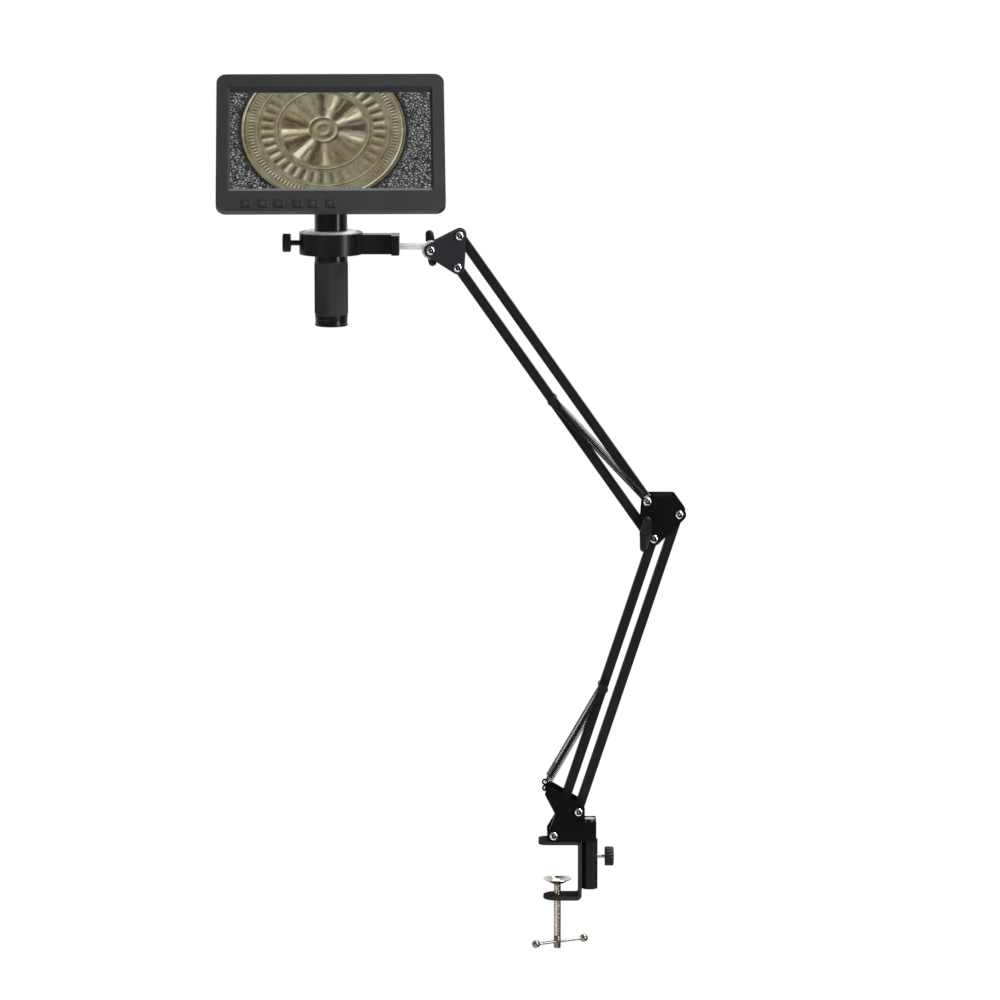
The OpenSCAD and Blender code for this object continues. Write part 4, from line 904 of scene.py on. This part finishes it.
def wing_nut(name, node, centre, hub, lift, towards, turn):
    """Moulded wing nut with a round hub and two leaf-shaped wings that rise towards the tips."""
    low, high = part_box(node)
    place = at_depth(centre, low.y if towards.y > 0 else high.y)
    depth = high.y - low.y
    tip = sizes().wing_span / 2
    radius = hub / 2
    hub_height = lift + 5.4 * MM
    hole = sizes().bolt_diameter / 2 + 0.06 * MM
    hole_end = 7.4 * MM
    mould = Mould()
    profile = [
        (hole, hole_end), (hole, 0.0), (radius - 0.6 * MM, 0.0), (radius, 0.5 * MM),
        (radius, lift + 3.4 * MM), (radius - 0.6 * MM, lift + 4.6 * MM),
        (radius - 2 * MM, lift + 5.2 * MM), (0.2 * MM, hub_height)]
    mould.turned(profile, facing(towards, place), segments=56)
    stations = 36
    around = 20
    sections = []
    for i in range(stations + 1):
        t = -1 + 2 * i / stations
        s = abs(t)
        end = max(0.0, (s - 0.8) / 0.2)
        last = max(0.0, (s - 0.75) / 0.25)
        half = (radius * (1 - s) + 4.1 * MM * s) * math.sqrt(max(0.0, 1 - end ** 2.2)) + 0.05 * MM
        floor = lift + 1.6 * MM * s ** 1.5 + 2.4 * MM * last ** 2
        roof = min(depth - 0.05 * MM, hub_height + 3.6 * MM * s) - 2.6 * MM * last ** 2
        section = []
        for k in range(around):
            c, d = math.cos(math.tau * k / around), math.sin(math.tau * k / around)
            across = half * math.copysign(abs(c) ** 0.75, c)
            up = (floor + roof) / 2 + (roof - floor) / 2 * math.copysign(abs(d) ** 0.6, d)
            section.append((tip * t, across, up))
        sections.append(section)
    mould.loft(sections, facing(towards, place, turn))
    mould.piece(name, node, "knob_black", [coat("Knob black")], [node], sharp=60)


class MICROSCOPE_OT_wing_nuts(bpy.types.Operator):
    """Builds the two wing nuts of elbow and head"""

    bl_idname = "microscope.wing_nuts"
    bl_label = "Wing nuts"

    def execute(self, context):
        wing_nut("elbow_wings", "elbow_wing_nut", ELBOW_UP_FRONT, 13.8 * MM, 4.2 * MM,
                 -FRONT_TO_BACK, math.radians(83.5))
        wing_nut("head_wings", "head_wing_nut", TILT_BOLT, 12 * MM, 3.2 * MM,
                 FRONT_TO_BACK, math.radians(84))
        return {"FINISHED"}


def coil(start, stop, side):
    """Path of a helix between two points of the arm's plane, at one side's depth."""
    radius = (sizes().spring_diameter - sizes().spring_wire) / 2
    along = stop - start
    length = along.length
    along.normalize()
    depth = beside(side)
    across = along.cross(FRONT_TO_BACK)
    steps = 14
    count = round(length / sizes().spring_pitch) * steps
    path = []
    for i in range(count + 1):
        angle = math.tau * i / steps
        spoke = math.cos(angle) * across + math.sin(angle) * FRONT_TO_BACK
        path.append(start + depth + along * (length * i / count) + radius * spoke)
    return path


def eye(centre, towards, radius, side):
    """Path of an open wire eye round a pin, which starts and ends on the side of `towards`."""
    along = (towards - centre).normalized()
    across = along.cross(FRONT_TO_BACK)
    depth = beside(side)
    gap = 0.25
    steps = 28
    path = []
    for i in range(steps + 1):
        angle = gap + (math.tau - gap) * i / steps
        path.append(centre + depth + radius * (math.cos(angle) * along + math.sin(angle) * across))
    return path


class MICROSCOPE_OT_springs(bpy.types.Operator):
    """Winds the balance springs, with their eyes, legs and hooks"""

    bl_idname = "microscope.springs"
    bl_label = "Springs"

    def execute(self, context):
        pin_eye = 3.2 * MM
        bolt_eye = 3.7 * MM
        lower_coils, hooks, upper_coils, legs = Mould(), Mould(), Mould(), Mould()
        for side in (-1, 1):
            self.wind(lower_coils, LOWER_PIN, HOOK_HOLE, pin_eye, 4.4 * MM, 9 * MM, side)
            self.wind(upper_coils, ELBOW_UP_REAR, UPPER_PIN, bolt_eye, 8.6 * MM, 11 * MM, side)
            self.pipe(hooks, self.hook(side))
            ring = eye(UPPER_PIN, ELBOW_UP_REAR, pin_eye, side)
            leg = self.straight(UPPER_PIN, ELBOW_UP_REAR, side, lean=-1.6, start=5.5, stop=50)
            self.pipe(legs, ring + leg)
        steel = [coat("Spring wire")]
        lower_coils.piece(
            "lower_coils", "lower_springs", "spring_steel", steel, ["lower_springs"], sharp=60)
        hooks.piece("lower_hooks", "lower_spring_hooks", "spring_steel", steel,
                    ["lower_spring_hooks"], sharp=60)
        upper_coils.piece(
            "upper_coils", "upper_springs", "spring_steel", steel, ["upper_springs"], sharp=60)
        legs.piece("upper_legs", "upper_front_bar", "spring_steel", steel, ["upper_spring_legs"],
                   sharp=60)
        return {"FINISHED"}

    def pipe(self, mould, path):
        """Adds spring wire along a path."""
        mould.pipe(path, sizes().spring_wire / 2, sizes().wire_sides)

    def wind(self, mould, held, far, eye_radius, first, free, side):
        """Eye round the pin at one end, and coils up to a free end."""
        along = (far - held).normalized()
        length = (far - held).length
        coils = coil(held + along * first, held + along * (length - free), side)
        lead = coils[0] - along * 0.3 * MM
        self.pipe(mould, eye(held, far, eye_radius, side) + [lead] + coils)

    def hook(self, side):
        """Path of a hook through an ear of the base bracket and into the lower coils."""
        along = (LOWER_PIN - HOOK_HOLE).normalized()
        depth = beside(side)
        ear = Vector((0, side * (PLATE_OUT + 1.4 * MM), 0))
        bend = 1.3 * MM
        bend_steps = 5
        path = [HOOK_HOLE + ear, HOOK_HOLE + depth + Vector((0, side * bend, 0))]
        for i in range(1, bend_steps + 1):
            angle = math.pi / 2 * i / bend_steps
            outward = Vector((0, side * bend * (1 - math.sin(angle)), 0))
            path.append(HOOK_HOLE + depth + along * bend * (1 - math.cos(angle)) + outward)
        return path + self.straight(HOOK_HOLE, LOWER_PIN, side, lean=1.2, start=7.5, stop=25)

    def straight(self, held, far, side, lean, start, stop):
        """Straight wire inside the coils, from numbers in millimetres. It stands off the axis,
        as the coils lean to that side at the limits."""
        along = (far - held).normalized()
        depth = beside(side)
        off = along.cross(FRONT_TO_BACK) * lean * MM
        return [held + depth + along * reach * MM + off for reach in (start, stop)]


# ------------------------------------------------------------------ holder and tube


class MICROSCOPE_OT_holder(bpy.types.Operator):
    """Finishes the support rod, the ring holder, its sleeve and its thumbscrew"""

    bl_idname = "microscope.holder"
    bl_label = "Holder"

    def execute(self, context):
        rod = turned("Rod plating", (0.92, 0.92, 0.91), middle("support_rod"), SIDE_TO_SIDE,
                     1.2 * MM, 0.28, 0.06, 0.0008 * MM, 0.1)
        soften("support_rod", 0.3 * MM, rod)
        soften("ring_holder", 0.5 * MM, coat("Anodised black"))
        sleeve = turned("Bright aluminium", (0.92, 0.92, 0.93), middle("reducing_sleeve"),
                        UPWARDS, 0.4 * MM, 0.3, metallic=0.1)
        soften("reducing_sleeve", 0.3 * MM, sleeve)
        self.thumbscrew()
        return {"FINISHED"}

    def thumbscrew(self):
        """Knurled knob with a collar on a plain shank."""
        centre, radius, length = lying(*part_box("ring_thumbscrew"))
        knob = 9.2 * MM
        land = radius - MM
        shank = 3.1 * MM
        ribs = 40
        side = ribbed(radius, 0.45 * MM, ribs)
        edge = ribbed(radius - 0.5 * MM, 0.3 * MM, ribs)
        profile = [
            (0.2 * MM, 0.5 * MM), (radius - 3 * MM, 0.5 * MM), (radius - 2.4 * MM, 0.0),
            (land, 0.0), (edge, 0.3 * MM), (side, 0.9 * MM), (side, knob - 0.9 * MM),
            (edge, knob - 0.3 * MM), (land, knob), (shank + 0.4 * MM, knob),
            (shank, knob + 0.3 * MM), (shank, length - 0.3 * MM), (shank - 0.3 * MM, length),
            (0.2 * MM, length)]
        screw = Mould()
        screw.turned(profile, facing(SIDE_TO_SIDE, centre), segments=6 * ribs)
        screw.piece("thumbscrew", "ring_thumbscrew", "anodised_black", [coat("Anodised black")],
                    ["ring_thumbscrew"], sharp=40)


class MICROSCOPE_OT_tube(bpy.types.Operator):
    """Finishes the microscope tube, its focus ring, its nose and its optics"""

    bl_idname = "microscope.tube"
    bl_label = "Tube"

    def execute(self, context):
        soften("tube_housing", 0.4 * MM, coat("Gloss black"))
        soften("nose_ring", 0.25 * MM, coat("Gloss black"))
        soften("hinge_yoke", 0.5 * MM, coat("Casing plastic"))
        soften("hinge_pin", 0.3 * MM, plated("Hinge plating", HINGE, SIDE_TO_SIDE))
        for node in ("inner_barrel", "lens_cell"):
            soften(node, 0.15 * MM, coat("Anodised black"))
        for node in ("objective_lens", "nose_window"):
            soften(node, 0.1 * MM, self.glass())
        for node in ("sensor_board", "light_board"):
            soften(node, 0.0, board_mask())
        soften("image_sensor", 0.2 * MM, coat("Sensor window"))
        self.grip()
        return {"FINISHED"}

    def glass(self):
        """Coated glass with a faint tint that varies over its face."""
        name = "Coated glass"
        if name in bpy.data.materials:
            return bpy.data.materials[name]
        material, graph, shader = new_material(name)
        smear = graph.noise(graph.place(), 60.0, 3.0, 0.6)
        tint = graph.blend(smear, (0.8, 0.9, 0.95, 1), (0.9, 0.85, 0.97, 1))
        graph.feed(shader.inputs["Base Color"], tint)
        graph.feed(shader.inputs["Roughness"], graph.ramp(smear, 0.3, 0.8, 0.02, 0.08))
        shader.inputs["Transmission Weight"].default_value = 0.9
        shader.inputs["IOR"].default_value = 1.5
        return material

    def grip(self):
        """Ribbed focus ring between two plain bands."""
        low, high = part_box("focus_ring")
        radius = (high.x - low.x) / 2
        height = high.z - low.z
        bore = 15.65 * MM
        bevel = radius - 1.1 * MM
        groove = radius - 0.5 * MM
        band = 3.2 * MM
        band_edge = radius - 0.1 * MM
        land = radius - 0.05 * MM
        ribs = 96
        ribbing = ribbed(radius, 0.3 * MM, ribs, 0.7)
        profile = [
            (bore, 0.2 * MM), (bore + 0.3 * MM, 0.0), (bevel, 0.0),
            (radius - 0.6 * MM, 0.25 * MM), (groove, 0.6 * MM), (groove, 1.6 * MM),
            (band_edge, 2 * MM), (land, band), (ribbing, band + 0.5 * MM),
            (ribbing, height - band - 0.5 * MM), (land, height - band),
            (band_edge, height - 2 * MM), (groove, height - 1.6 * MM),
            (groove, height - 0.6 * MM), (radius - 0.6 * MM, height - 0.25 * MM),
            (bevel, height), (bore + 0.3 * MM, height), (bore, height - 0.2 * MM),
            (bore, 0.2 * MM)]
        centre = middle("focus_ring")
        ring = Mould()
        ring.turned(profile, Matrix.Translation((centre.x, centre.y, low.z)), segments=5 * ribs,
                    closed=False)
        ring.piece("focus_grip", "focus_ring", "grip_matte", [coat("Grip black")], ["focus_ring"],
                   sharp=40)


def board_mask():
    """Green solder mask with fine tracks."""
    name = "Solder mask"
    if name in bpy.data.materials:
        return bpy.data.materials[name]
    material, graph, shader = new_material(name)
    tracks = graph.node("ShaderNodeTexBrick", offset=0.37)
    graph.feed(tracks.inputs["Vector"], graph.place())
    graph.feed(tracks.inputs["Scale"], 260.0)
    graph.feed(tracks.inputs["Mortar Size"], 0.06)
    graph.feed(tracks.inputs["Color1"], (0.01, 0.09, 0.04, 1))
    graph.feed(tracks.inputs["Color2"], (0.012, 0.11, 0.05, 1))
    graph.feed(tracks.inputs["Mortar"], (0.03, 0.2, 0.08, 1))
    clouds = graph.noise(graph.place(), 300.0, 3.0, 0.6)
    cover = graph.ramp(clouds, 0.2, 0.9, 0.0, 0.35)
    mask = graph.blend(cover, tracks.outputs["Color"], (0.005, 0.05, 0.02, 1))
    graph.feed(shader.inputs["Base Color"], mask)
    graph.feed(shader.inputs["Roughness"], graph.ramp(clouds, 0.2, 0.8, 0.25, 0.45))
    raise_surface(graph, shader, tracks.outputs["Fac"], 0.03 * MM)
    return material


# ------------------------------------------------------------------ screen


def screen_place():
    """Matrix of the screen's own frame: x right, y up the screen and z out of it."""
    out = -Vector(JOINTS["button_1_press"]["axis"]).normalized()
    across = Vector(JOINTS["screen_tilt"]["axis"]).normalized()
    turn = Matrix((across, out.cross(across), out)).transposed().to_4x4()
    return Matrix.Translation(HINGE) @ turn


def screen_box(node):
    """Box of a solid in the screen's own frame."""
    back = screen_place().inverted()
    points = [back @ vertex.co for vertex in frame["nodes"][node].data.vertices]
    low = Vector([min(point[i] for point in points) for i in range(3)])
    high = Vector([max(point[i] for point in points) for i in range(3)])
    return low, high


class MICROSCOPE_OT_casing(bpy.types.Operator):
    """Finishes the casing of the screen, its screws and what is inside"""

    bl_idname = "microscope.casing"
    bl_label = "Screen casing"

    def execute(self, context):
        plastic = coat("Casing plastic")
        soften("front_frame", sizes().case_edge, plastic, angle=50, crisp=0.12 * MM)
        soften("rear_cover", 0.8 * MM, plastic)
        soften("case_screws", 0.15 * MM, coat("Screw plating black"))
        for node in ("main_board", "button_board"):
            soften(node, 0.0, board_mask())
        soften("battery_pack", 1.5 * MM, coat("Battery wrap"))
        tin = turned("Tinned sockets", (0.6, 0.6, 0.62), middle("port_block"), SIDE_TO_SIDE,
                     0.4 * MM, 0.28)
        soften("port_block", 0.0, tin)
        return {"FINISHED"}


def medal_picture():
    """Group for the picture: a magnified old metal disc with a rosette, on dark leather."""
    name = "Magnified Disc"
    if name in bpy.data.node_groups:
        return bpy.data.node_groups[name]
    inputs = (
        ("Tone", "Color", (0.2, 0.19, 0.12, 1)),
        ("Radius", "Float", 0.09),
        ("Centre", "Vector", (0, 0, 0)),
    )
    tree, graph, given, wanted = new_group(name, inputs, (("Color", "Color"),))
    place = graph.place()
    parts = graph.node("ShaderNodeSeparateXYZ")
    graph.feed(parts.inputs[0], graph.vector("SUBTRACT", place, given["Centre"]))
    x, y = parts.outputs["X"], parts.outputs["Y"]
    flat = graph.node("ShaderNodeCombineXYZ")
    graph.feed(flat.inputs["X"], x)
    graph.feed(flat.inputs["Y"], y)
    radius = graph.math("DIVIDE", graph.vector("LENGTH", flat.outputs[0]), given["Radius"])
    angle = graph.math("ARCTAN2", y, x)
    light = math.radians(125)
    # Slope towards the light of a ring-shaped wall, and of a wall that runs outwards
    outward = graph.math("COSINE", graph.math("SUBTRACT", angle, light))
    around = graph.math("SINE", graph.math("SUBTRACT", angle, light))

    def wall(centre, width):
        """Light on a ring-shaped ridge."""
        offset = graph.math("DIVIDE", graph.math("SUBTRACT", radius, centre), width)
        bell = graph.math("POWER", math.e, graph.times(graph.times(offset, offset), -1.0))
        return graph.times(graph.times(offset, bell), outward)

    def petals(count, inner, outer, shift, sharp):
        """Light on petals between two radii."""
        swing = graph.math("MULTIPLY_ADD", angle, count, shift)
        mask = graph.ramp(radius, inner, inner + 0.04)
        mask = graph.times(mask, graph.ramp(radius, outer, outer - 0.05))
        crest = graph.math("ABSOLUTE", graph.math("COSINE", swing))
        crest = graph.math("POWER", crest, sharp)
        tilt = graph.times(graph.math("SINE", graph.times(swing, 2.0)), around)
        return graph.times(graph.times(tilt, crest), mask)

    # Radius, width and weight of each ridge
    ridges = ((0.965, 0.012, 2.4), (0.80, 0.008, 1.2), (0.56, 0.01, 1.3), (0.17, 0.02, 1.6),
              (0.08, 0.03, 1.2))
    # Half the number of petals, inner and outer radius, shift, sharpness and weight
    wreaths = ((4.0, 0.16, 0.54, 0.4, 0.6, 1.1), (12.0, 0.30, 0.52, 0.2, 1.5, 0.7),
               (18.0, 0.59, 0.78, 0.0, 1.0, 0.9), (60.0, 0.83, 0.93, 0.0, 1.0, 1.0))
    slopes = [graph.times(wall(*ridge), weight) for *ridge, weight in ridges]
    slopes += [graph.times(petals(*wreath), weight) for *wreath, weight in wreaths]
    relief = slopes[0]
    for slope in slopes[1:]:
        relief = graph.math("ADD", relief, slope)
    wear = graph.noise(place, 55.0, 6.0, 0.68)
    fine = graph.noise(place, 520.0, 4.0, 0.7)
    tone = graph.math("MULTIPLY_ADD", relief, 0.6, 0.45)
    tone = graph.sway(fine, 0.3, graph.sway(wear, 0.95, tone))
    shades = graph.node("ShaderNodeValToRGB")
    ramp = shades.color_ramp
    ramp.elements[0].position = 0.05
    ramp.elements[0].color = (0.05, 0.042, 0.022, 1)
    ramp.elements[1].position = 0.98
    ramp.elements[1].color = (0.78, 0.76, 0.62, 1)
    between = ((0.3, (0.13, 0.115, 0.065, 1)), (0.5, (0.225, 0.21, 0.135, 1)),
               (0.7, (0.36, 0.34, 0.22, 1)))
    for position, colour in between:
        ramp.elements.new(position).color = colour
    graph.feed(shades.inputs[0], tone)
    dull = graph.ramp(wear, 0.35, 0.75, 0.0, 0.35)
    metal = graph.blend(dull, shades.outputs["Color"], given["Tone"])
    # Brown tarnish in patches
    patches = graph.noise(place, 26.0, 3.0, 0.6)
    tarnish = graph.node("ShaderNodeMix", data_type="RGBA", blend_type="MULTIPLY")
    graph.feed(tarnish.inputs["Factor"], graph.ramp(patches, 0.46, 0.6, 0.0, 0.8))
    graph.feed(tarnish.inputs[6], metal)
    graph.feed(tarnish.inputs[7], (0.8, 0.7, 0.58, 1))
    # Pebbled leather under the disc
    cells = graph.node("ShaderNodeTexVoronoi", feature="DISTANCE_TO_EDGE")
    graph.feed(cells.inputs["Vector"], graph.vector("MULTIPLY", place, (1.0, 1.3, 1.0)))
    graph.feed(cells.inputs["Scale"], 270.0)
    speckle = graph.noise(place, 480.0, 3.0, 0.7)
    pebble = graph.ramp(cells.outputs["Distance"], 0.04, 0.26)
    pebble = graph.times(pebble, graph.ramp(speckle, 0.4, 0.56))
    leather = graph.blend(pebble, (0.014, 0.015, 0.016, 1), (0.42, 0.43, 0.43, 1))
    inside = graph.ramp(radius, 1.0, 0.992)
    shadow = graph.ramp(radius, 1.0, 1.09, 0.05, 1.0)
    dimmed = graph.blend(shadow, (0.004, 0.004, 0.004, 1), leather)
    graph.feed(wanted["Color"], graph.blend(inside, dimmed, tarnish.outputs[2]))
    return tree


# Middle of the disc, from the middle of the picture
DISC_PLACE = (-7.8 * MM, 14 * MM, 0)


class MICROSCOPE_OT_picture(bpy.types.Operator):
    """Builds the lit picture behind its cover"""

    bl_idname = "microscope.picture"
    bl_label = "Picture"

    def execute(self, context):
        low, high = screen_box("picture_panel")
        centre = (low + high) / 2
        size = sizes()
        wide, tall = (high.x - low.x) / 2, (high.y - low.y) / 2
        depth = high.z - low.z
        inset = 0.4 * MM
        border = 0.8 * MM
        rings = [
            (wide - inset, tall - inset, -depth), (wide, tall, -depth + inset),
            (wide, tall, -inset), (wide - inset, tall - inset, 0.0),
            (size.picture_width / 2 + border, size.picture_height / 2 + border, 0.0),
        ]
        corners = ((-1, -1), (-1, 1), (1, 1), (1, -1))
        sheet = Mould()
        sheet.loft([[(x * sx, y * sy, z) for sx, sy in corners] for x, y, z in rings])
        sheet.finishes[-1] = 1
        # The loft winds clockwise seen from its end, so its faces are turned over
        sheet.faces = [list(reversed(face)) for face in sheet.faces]
        place = screen_place() @ Matrix.Translation((centre.x, centre.y, high.z))
        panel = sheet.piece("lit_panel", "monitor", "picture",
                            [coat("Panel edge"), self.picture()], ["picture_panel"], place)
        bevel = panel.modifiers.new("Round the edges", "BEVEL")
        bevel.width = 0.15 * MM
        bevel.segments = 2
        return {"FINISHED"}

    def picture(self):
        """Picture that shines through a smooth cover."""
        material, graph, shader = new_material("Lit picture")
        disc = graph.node("ShaderNodeGroup", node_tree=medal_picture())
        disc.inputs["Tone"].default_value = rgba(colours().disc)
        disc.inputs["Radius"].default_value = sizes().disc_diameter / 2
        disc.inputs["Centre"].default_value = DISC_PLACE
        shader.inputs["Base Color"].default_value = (0.004, 0.004, 0.004, 1)
        graph.feed(shader.inputs["Emission Color"], disc.outputs["Color"])
        shader.inputs["Emission Strength"].default_value = 1.0
        wipe = graph.noise(graph.place(), 18.0, 3.0, 0.6)
        graph.feed(shader.inputs["Roughness"], graph.ramp(wipe, 0.3, 0.8, 0.18, 0.3))
        shader.inputs["Specular IOR Level"].default_value = 0.25
        return material


def arc(radius, start, stop, steps):
    """Points on an arc about the origin, between two angles in degrees."""
    angles = [math.radians(start + (stop - start) * i / steps) for i in range(steps + 1)]
    return [(radius * math.cos(angle), radius * math.sin(angle)) for angle in angles]


# Strokes of small generic signs, as lists of points in a square from -1 to 1
SIGNS = {
    "power": [arc(0.62, 120, 420, 20), [(0, 0.15), (0, 0.95)]],
    "menu": [[(-0.7, y), (0.7, y)] for y in (-0.5, 0, 0.5)],
    "left": [[(0.4, 0.7), (-0.5, 0), (0.4, -0.7)]],
    "right": [[(-0.4, 0.7), (0.5, 0), (-0.4, -0.7)]],
    "frame": [[(-0.8, -0.55), (0.8, -0.55), (0.8, 0.55), (-0.8, 0.55), (-0.8, -0.55)]],
    "dot": [arc(0.5, 0, 360, 16)],
}


class MICROSCOPE_OT_buttons(bpy.types.Operator):
    """Finishes the buttons, their signs and the status light"""

    bl_idname = "microscope.buttons"
    bl_label = "Buttons"

    def execute(self, context):
        reach = 2.1 * MM
        lift = 0.01 * MM
        stroke_radius = 0.22 * MM
        flatness = 0.15
        for index, strokes in enumerate(SIGNS.values(), 1):
            node = f"button_{index}"
            soften(node, 0.5 * MM, coat("Button plastic", 0.85))
            low, high = screen_box(node)
            centre = Vector(((low.x + high.x) / 2, (low.y + high.y) / 2, high.z))
            sign = Mould()
            for stroke in strokes:
                points = [centre + Vector((reach * x, reach * y, lift)) for x, y in stroke]
                sign.pipe(points, stroke_radius, 8)
            flat = (Matrix.Translation((0, 0, centre.z)) @ Matrix.Diagonal((1, 1, flatness, 1))
                    @ Matrix.Translation((0, 0, -centre.z)))
            sign.vertices = [flat @ vertex for vertex in sign.vertices]
            sign.piece(f"sign_{index}", node, "button_matte", [coat("Sign print")],
                       place=screen_place(), sharp=60)
        soften("status_light", 0.2 * MM, coat("Light pipe"))
        return {"FINISHED"}


# ------------------------------------------------------------------ stage


# Point that the camera looks at
TARGET = Vector((-65.26 * MM, 0, 394.24 * MM))

# Name, place from the target, how far under the target it aims, width, height and power
LAMPS = (
    ("Key light", (1.6, -0.15, 2.95), 0.0, 1.5, 1.5, 112),
    ("Front light", (1.9, -2.3, 1.9), 0.0, 1.0, 1.0, 32),
    ("Side light", (2.6, -2.0, 0.25), 0.0, 0.6, 1.5, 36),
    ("Low light", (-2.0, -2.6, -0.9), 0.4, 1.6, 0.4, 9),
    ("Back light", (0.3, 1.6, 2.4), 0.0, 1.8, 1.8, 36),
)


class MICROSCOPE_OT_stage(bpy.types.Operator):
    """Sets the floor, the lamps, the world and the camera"""

    bl_idname = "microscope.stage"
    bl_label = "Stage"

    def execute(self, context):
        self.world(context)
        self.floor()
        for name, place, drop, width, height, power in LAMPS:
            self.lamp(name, TARGET + Vector(place), TARGET - drop * UPWARDS, width, height, power)
        self.camera(context)
        context.scene.view_settings.view_transform = "Standard"
        return {"FINISHED"}

    def world(self, context):
        """White to the camera, and dimmer as a light. Mirrors show white behind the object
        and the dim room in front of it."""
        world = bpy.data.worlds.new("Studio")
        context.scene.world = world
        world.use_nodes = True
        graph = Graph(world.node_tree)
        background = world.node_tree.nodes["Background"]
        background.inputs["Color"].default_value = (1, 1, 1, 1)
        parts = graph.node("ShaderNodeSeparateXYZ")
        graph.feed(parts.inputs[0], graph.node("ShaderNodeTexCoord").outputs["Generated"])
        mirrored = graph.ramp(parts.outputs["Y"], 0.0, 0.7, 0.2, 1.0)
        path = graph.node("ShaderNodeLightPath").outputs
        glossy = graph.math("MAXIMUM", path["Is Glossy Ray"], path["Is Transmission Ray"])
        mirrored = graph.times(glossy, mirrored)
        strength = graph.math("MAXIMUM", path["Is Camera Ray"], mirrored)
        ambient = 0.27
        graph.feed(background.inputs["Strength"], graph.math("MAXIMUM", strength, ambient))

    def floor(self):
        """Pale floor, a table's height below the clamp. Its right side is painted black, so that
        plated parts get a painted dark side in their reflections."""
        depth = -0.75
        reach = 12.0
        sheet = Mould()
        rings = [(r, depth) for r in (reach, 0.5 * reach, 0.1 * reach, 0.01)]
        sheet.turned(rings, segments=64, closed=False)
        mesh = bpy.data.meshes.new("floor")
        mesh.from_pydata(sheet.vertices, [], sheet.faces)
        thing = bpy.data.objects.new("floor", mesh)
        bpy.context.scene.collection.objects.link(thing)
        material, graph, shader = new_material("Pale floor")
        cloud = graph.noise(graph.place(), 3.0, 3.0, 0.5)
        parts = graph.node("ShaderNodeSeparateXYZ")
        graph.feed(parts.inputs[0], graph.place())
        pale = graph.blend(cloud, (0.78, 0.78, 0.78, 1), (0.84, 0.84, 0.84, 1))
        # Painted reflection: the floor turns black towards its right side, so plated parts mirror
        # a dark side
        painted_dark_side = graph.ramp(parts.outputs["X"], 0.2, 0.7)
        graph.feed(shader.inputs["Base Color"], graph.blend(painted_dark_side, pale, (0.05, 0.05, 0.05, 1)))
        graph.feed(shader.inputs["Roughness"], graph.ramp(cloud, 0.2, 0.8, 0.6, 0.8))
        glow = graph.node("ShaderNodeEmission")
        mixed = graph.node("ShaderNodeMixShader")
        path = graph.node("ShaderNodeLightPath").outputs
        graph.feed(mixed.inputs["Fac"], path["Is Camera Ray"])
        graph.feed(mixed.inputs[1], shader.outputs["BSDF"])
        graph.feed(mixed.inputs[2], glow.outputs["Emission"])
        output = material.node_tree.nodes["Material Output"]
        graph.feed(output.inputs["Surface"], mixed.outputs["Shader"])
        mesh.materials.append(material)

    def lamp(self, name, point, target, width, height, power):
        """Soft box of a width and a height that looks at a point."""
        data = bpy.data.lights.new(name, "AREA")
        data.shape = "RECTANGLE"
        data.size = width
        data.size_y = height
        data.energy = power
        thing = bpy.data.objects.new(name, data)
        bpy.context.scene.collection.objects.link(thing)
        thing.location = point
        thing.rotation_euler = (target - point).to_track_quat("-Z", "Y").to_euler()

    def camera(self, context):
        """Camera far in front of the arm, a little above it."""
        distance = 6.0
        elevation = math.radians(9.3)
        data = bpy.data.cameras.new("Camera")
        data.sensor_width = 36.0
        data.lens = 192.0
        data.clip_end = 100.0
        thing = bpy.data.objects.new("Camera", data)
        context.scene.collection.objects.link(thing)
        thing.location = TARGET + distance * Vector((0, -math.cos(elevation), math.sin(elevation)))
        thing.rotation_euler = (TARGET - thing.location).to_track_quat("-Z", "Y").to_euler()
        context.scene.camera = thing


# ------------------------------------------------------------------ add-on

PIECES = (
    MICROSCOPE_OT_clamp,
    MICROSCOPE_OT_clamp_screw,
    MICROSCOPE_OT_lock_knob,
    MICROSCOPE_OT_brackets,
    MICROSCOPE_OT_bars,
    MICROSCOPE_OT_bolts,
    MICROSCOPE_OT_wing_nuts,
    MICROSCOPE_OT_springs,
    MICROSCOPE_OT_holder,
    MICROSCOPE_OT_tube,
    MICROSCOPE_OT_casing,
    MICROSCOPE_OT_picture,
    MICROSCOPE_OT_buttons,
    MICROSCOPE_OT_stage,
)


class MICROSCOPE_PT_panel(bpy.types.Panel):
    """Sidebar panel with the sizes, the colours and the pieces"""

    bl_idname = "MICROSCOPE_PT_panel"
    bl_label = "Microscope"
    bl_space_type = "VIEW_3D"
    bl_region_type = "UI"
    bl_category = "Microscope"

    def draw(self, context):
        for group in (context.scene.microscope_sizes, context.scene.microscope_colours):
            box = self.layout.box()
            for name in group.bl_rna.properties.keys():
                if name not in ("rna_type", "name"):
                    box.prop(group, name)
        for piece in PIECES:
            self.layout.operator(piece.bl_idname)


CLASSES = (MicroscopeSizes, MicroscopeColours, *PIECES, MICROSCOPE_PT_panel)


def register():
    """Registers the classes and hangs the sizes and colours on the scene."""
    for cls in CLASSES:
        bpy.utils.register_class(cls)
    bpy.types.Scene.microscope_sizes = PointerProperty(type=MicroscopeSizes)
    bpy.types.Scene.microscope_colours = PointerProperty(type=MicroscopeColours)


def unregister():
    """Takes them away again."""
    del bpy.types.Scene.microscope_colours
    del bpy.types.Scene.microscope_sizes
    for cls in reversed(CLASSES):
        bpy.utils.unregister_class(cls)


def main():
    """Builds every piece in order."""
    register()
    bpy.ops.microscope.clamp()
    bpy.ops.microscope.clamp_screw()
    bpy.ops.microscope.lock_knob()
    bpy.ops.microscope.brackets()
    bpy.ops.microscope.bars()
    bpy.ops.microscope.bolts()
    bpy.ops.microscope.wing_nuts()
    bpy.ops.microscope.springs()
    bpy.ops.microscope.holder()
    bpy.ops.microscope.tube()
    bpy.ops.microscope.casing()
    bpy.ops.microscope.picture()
    bpy.ops.microscope.buttons()
    bpy.ops.microscope.stage()


if __name__ == "__main__":
    main()
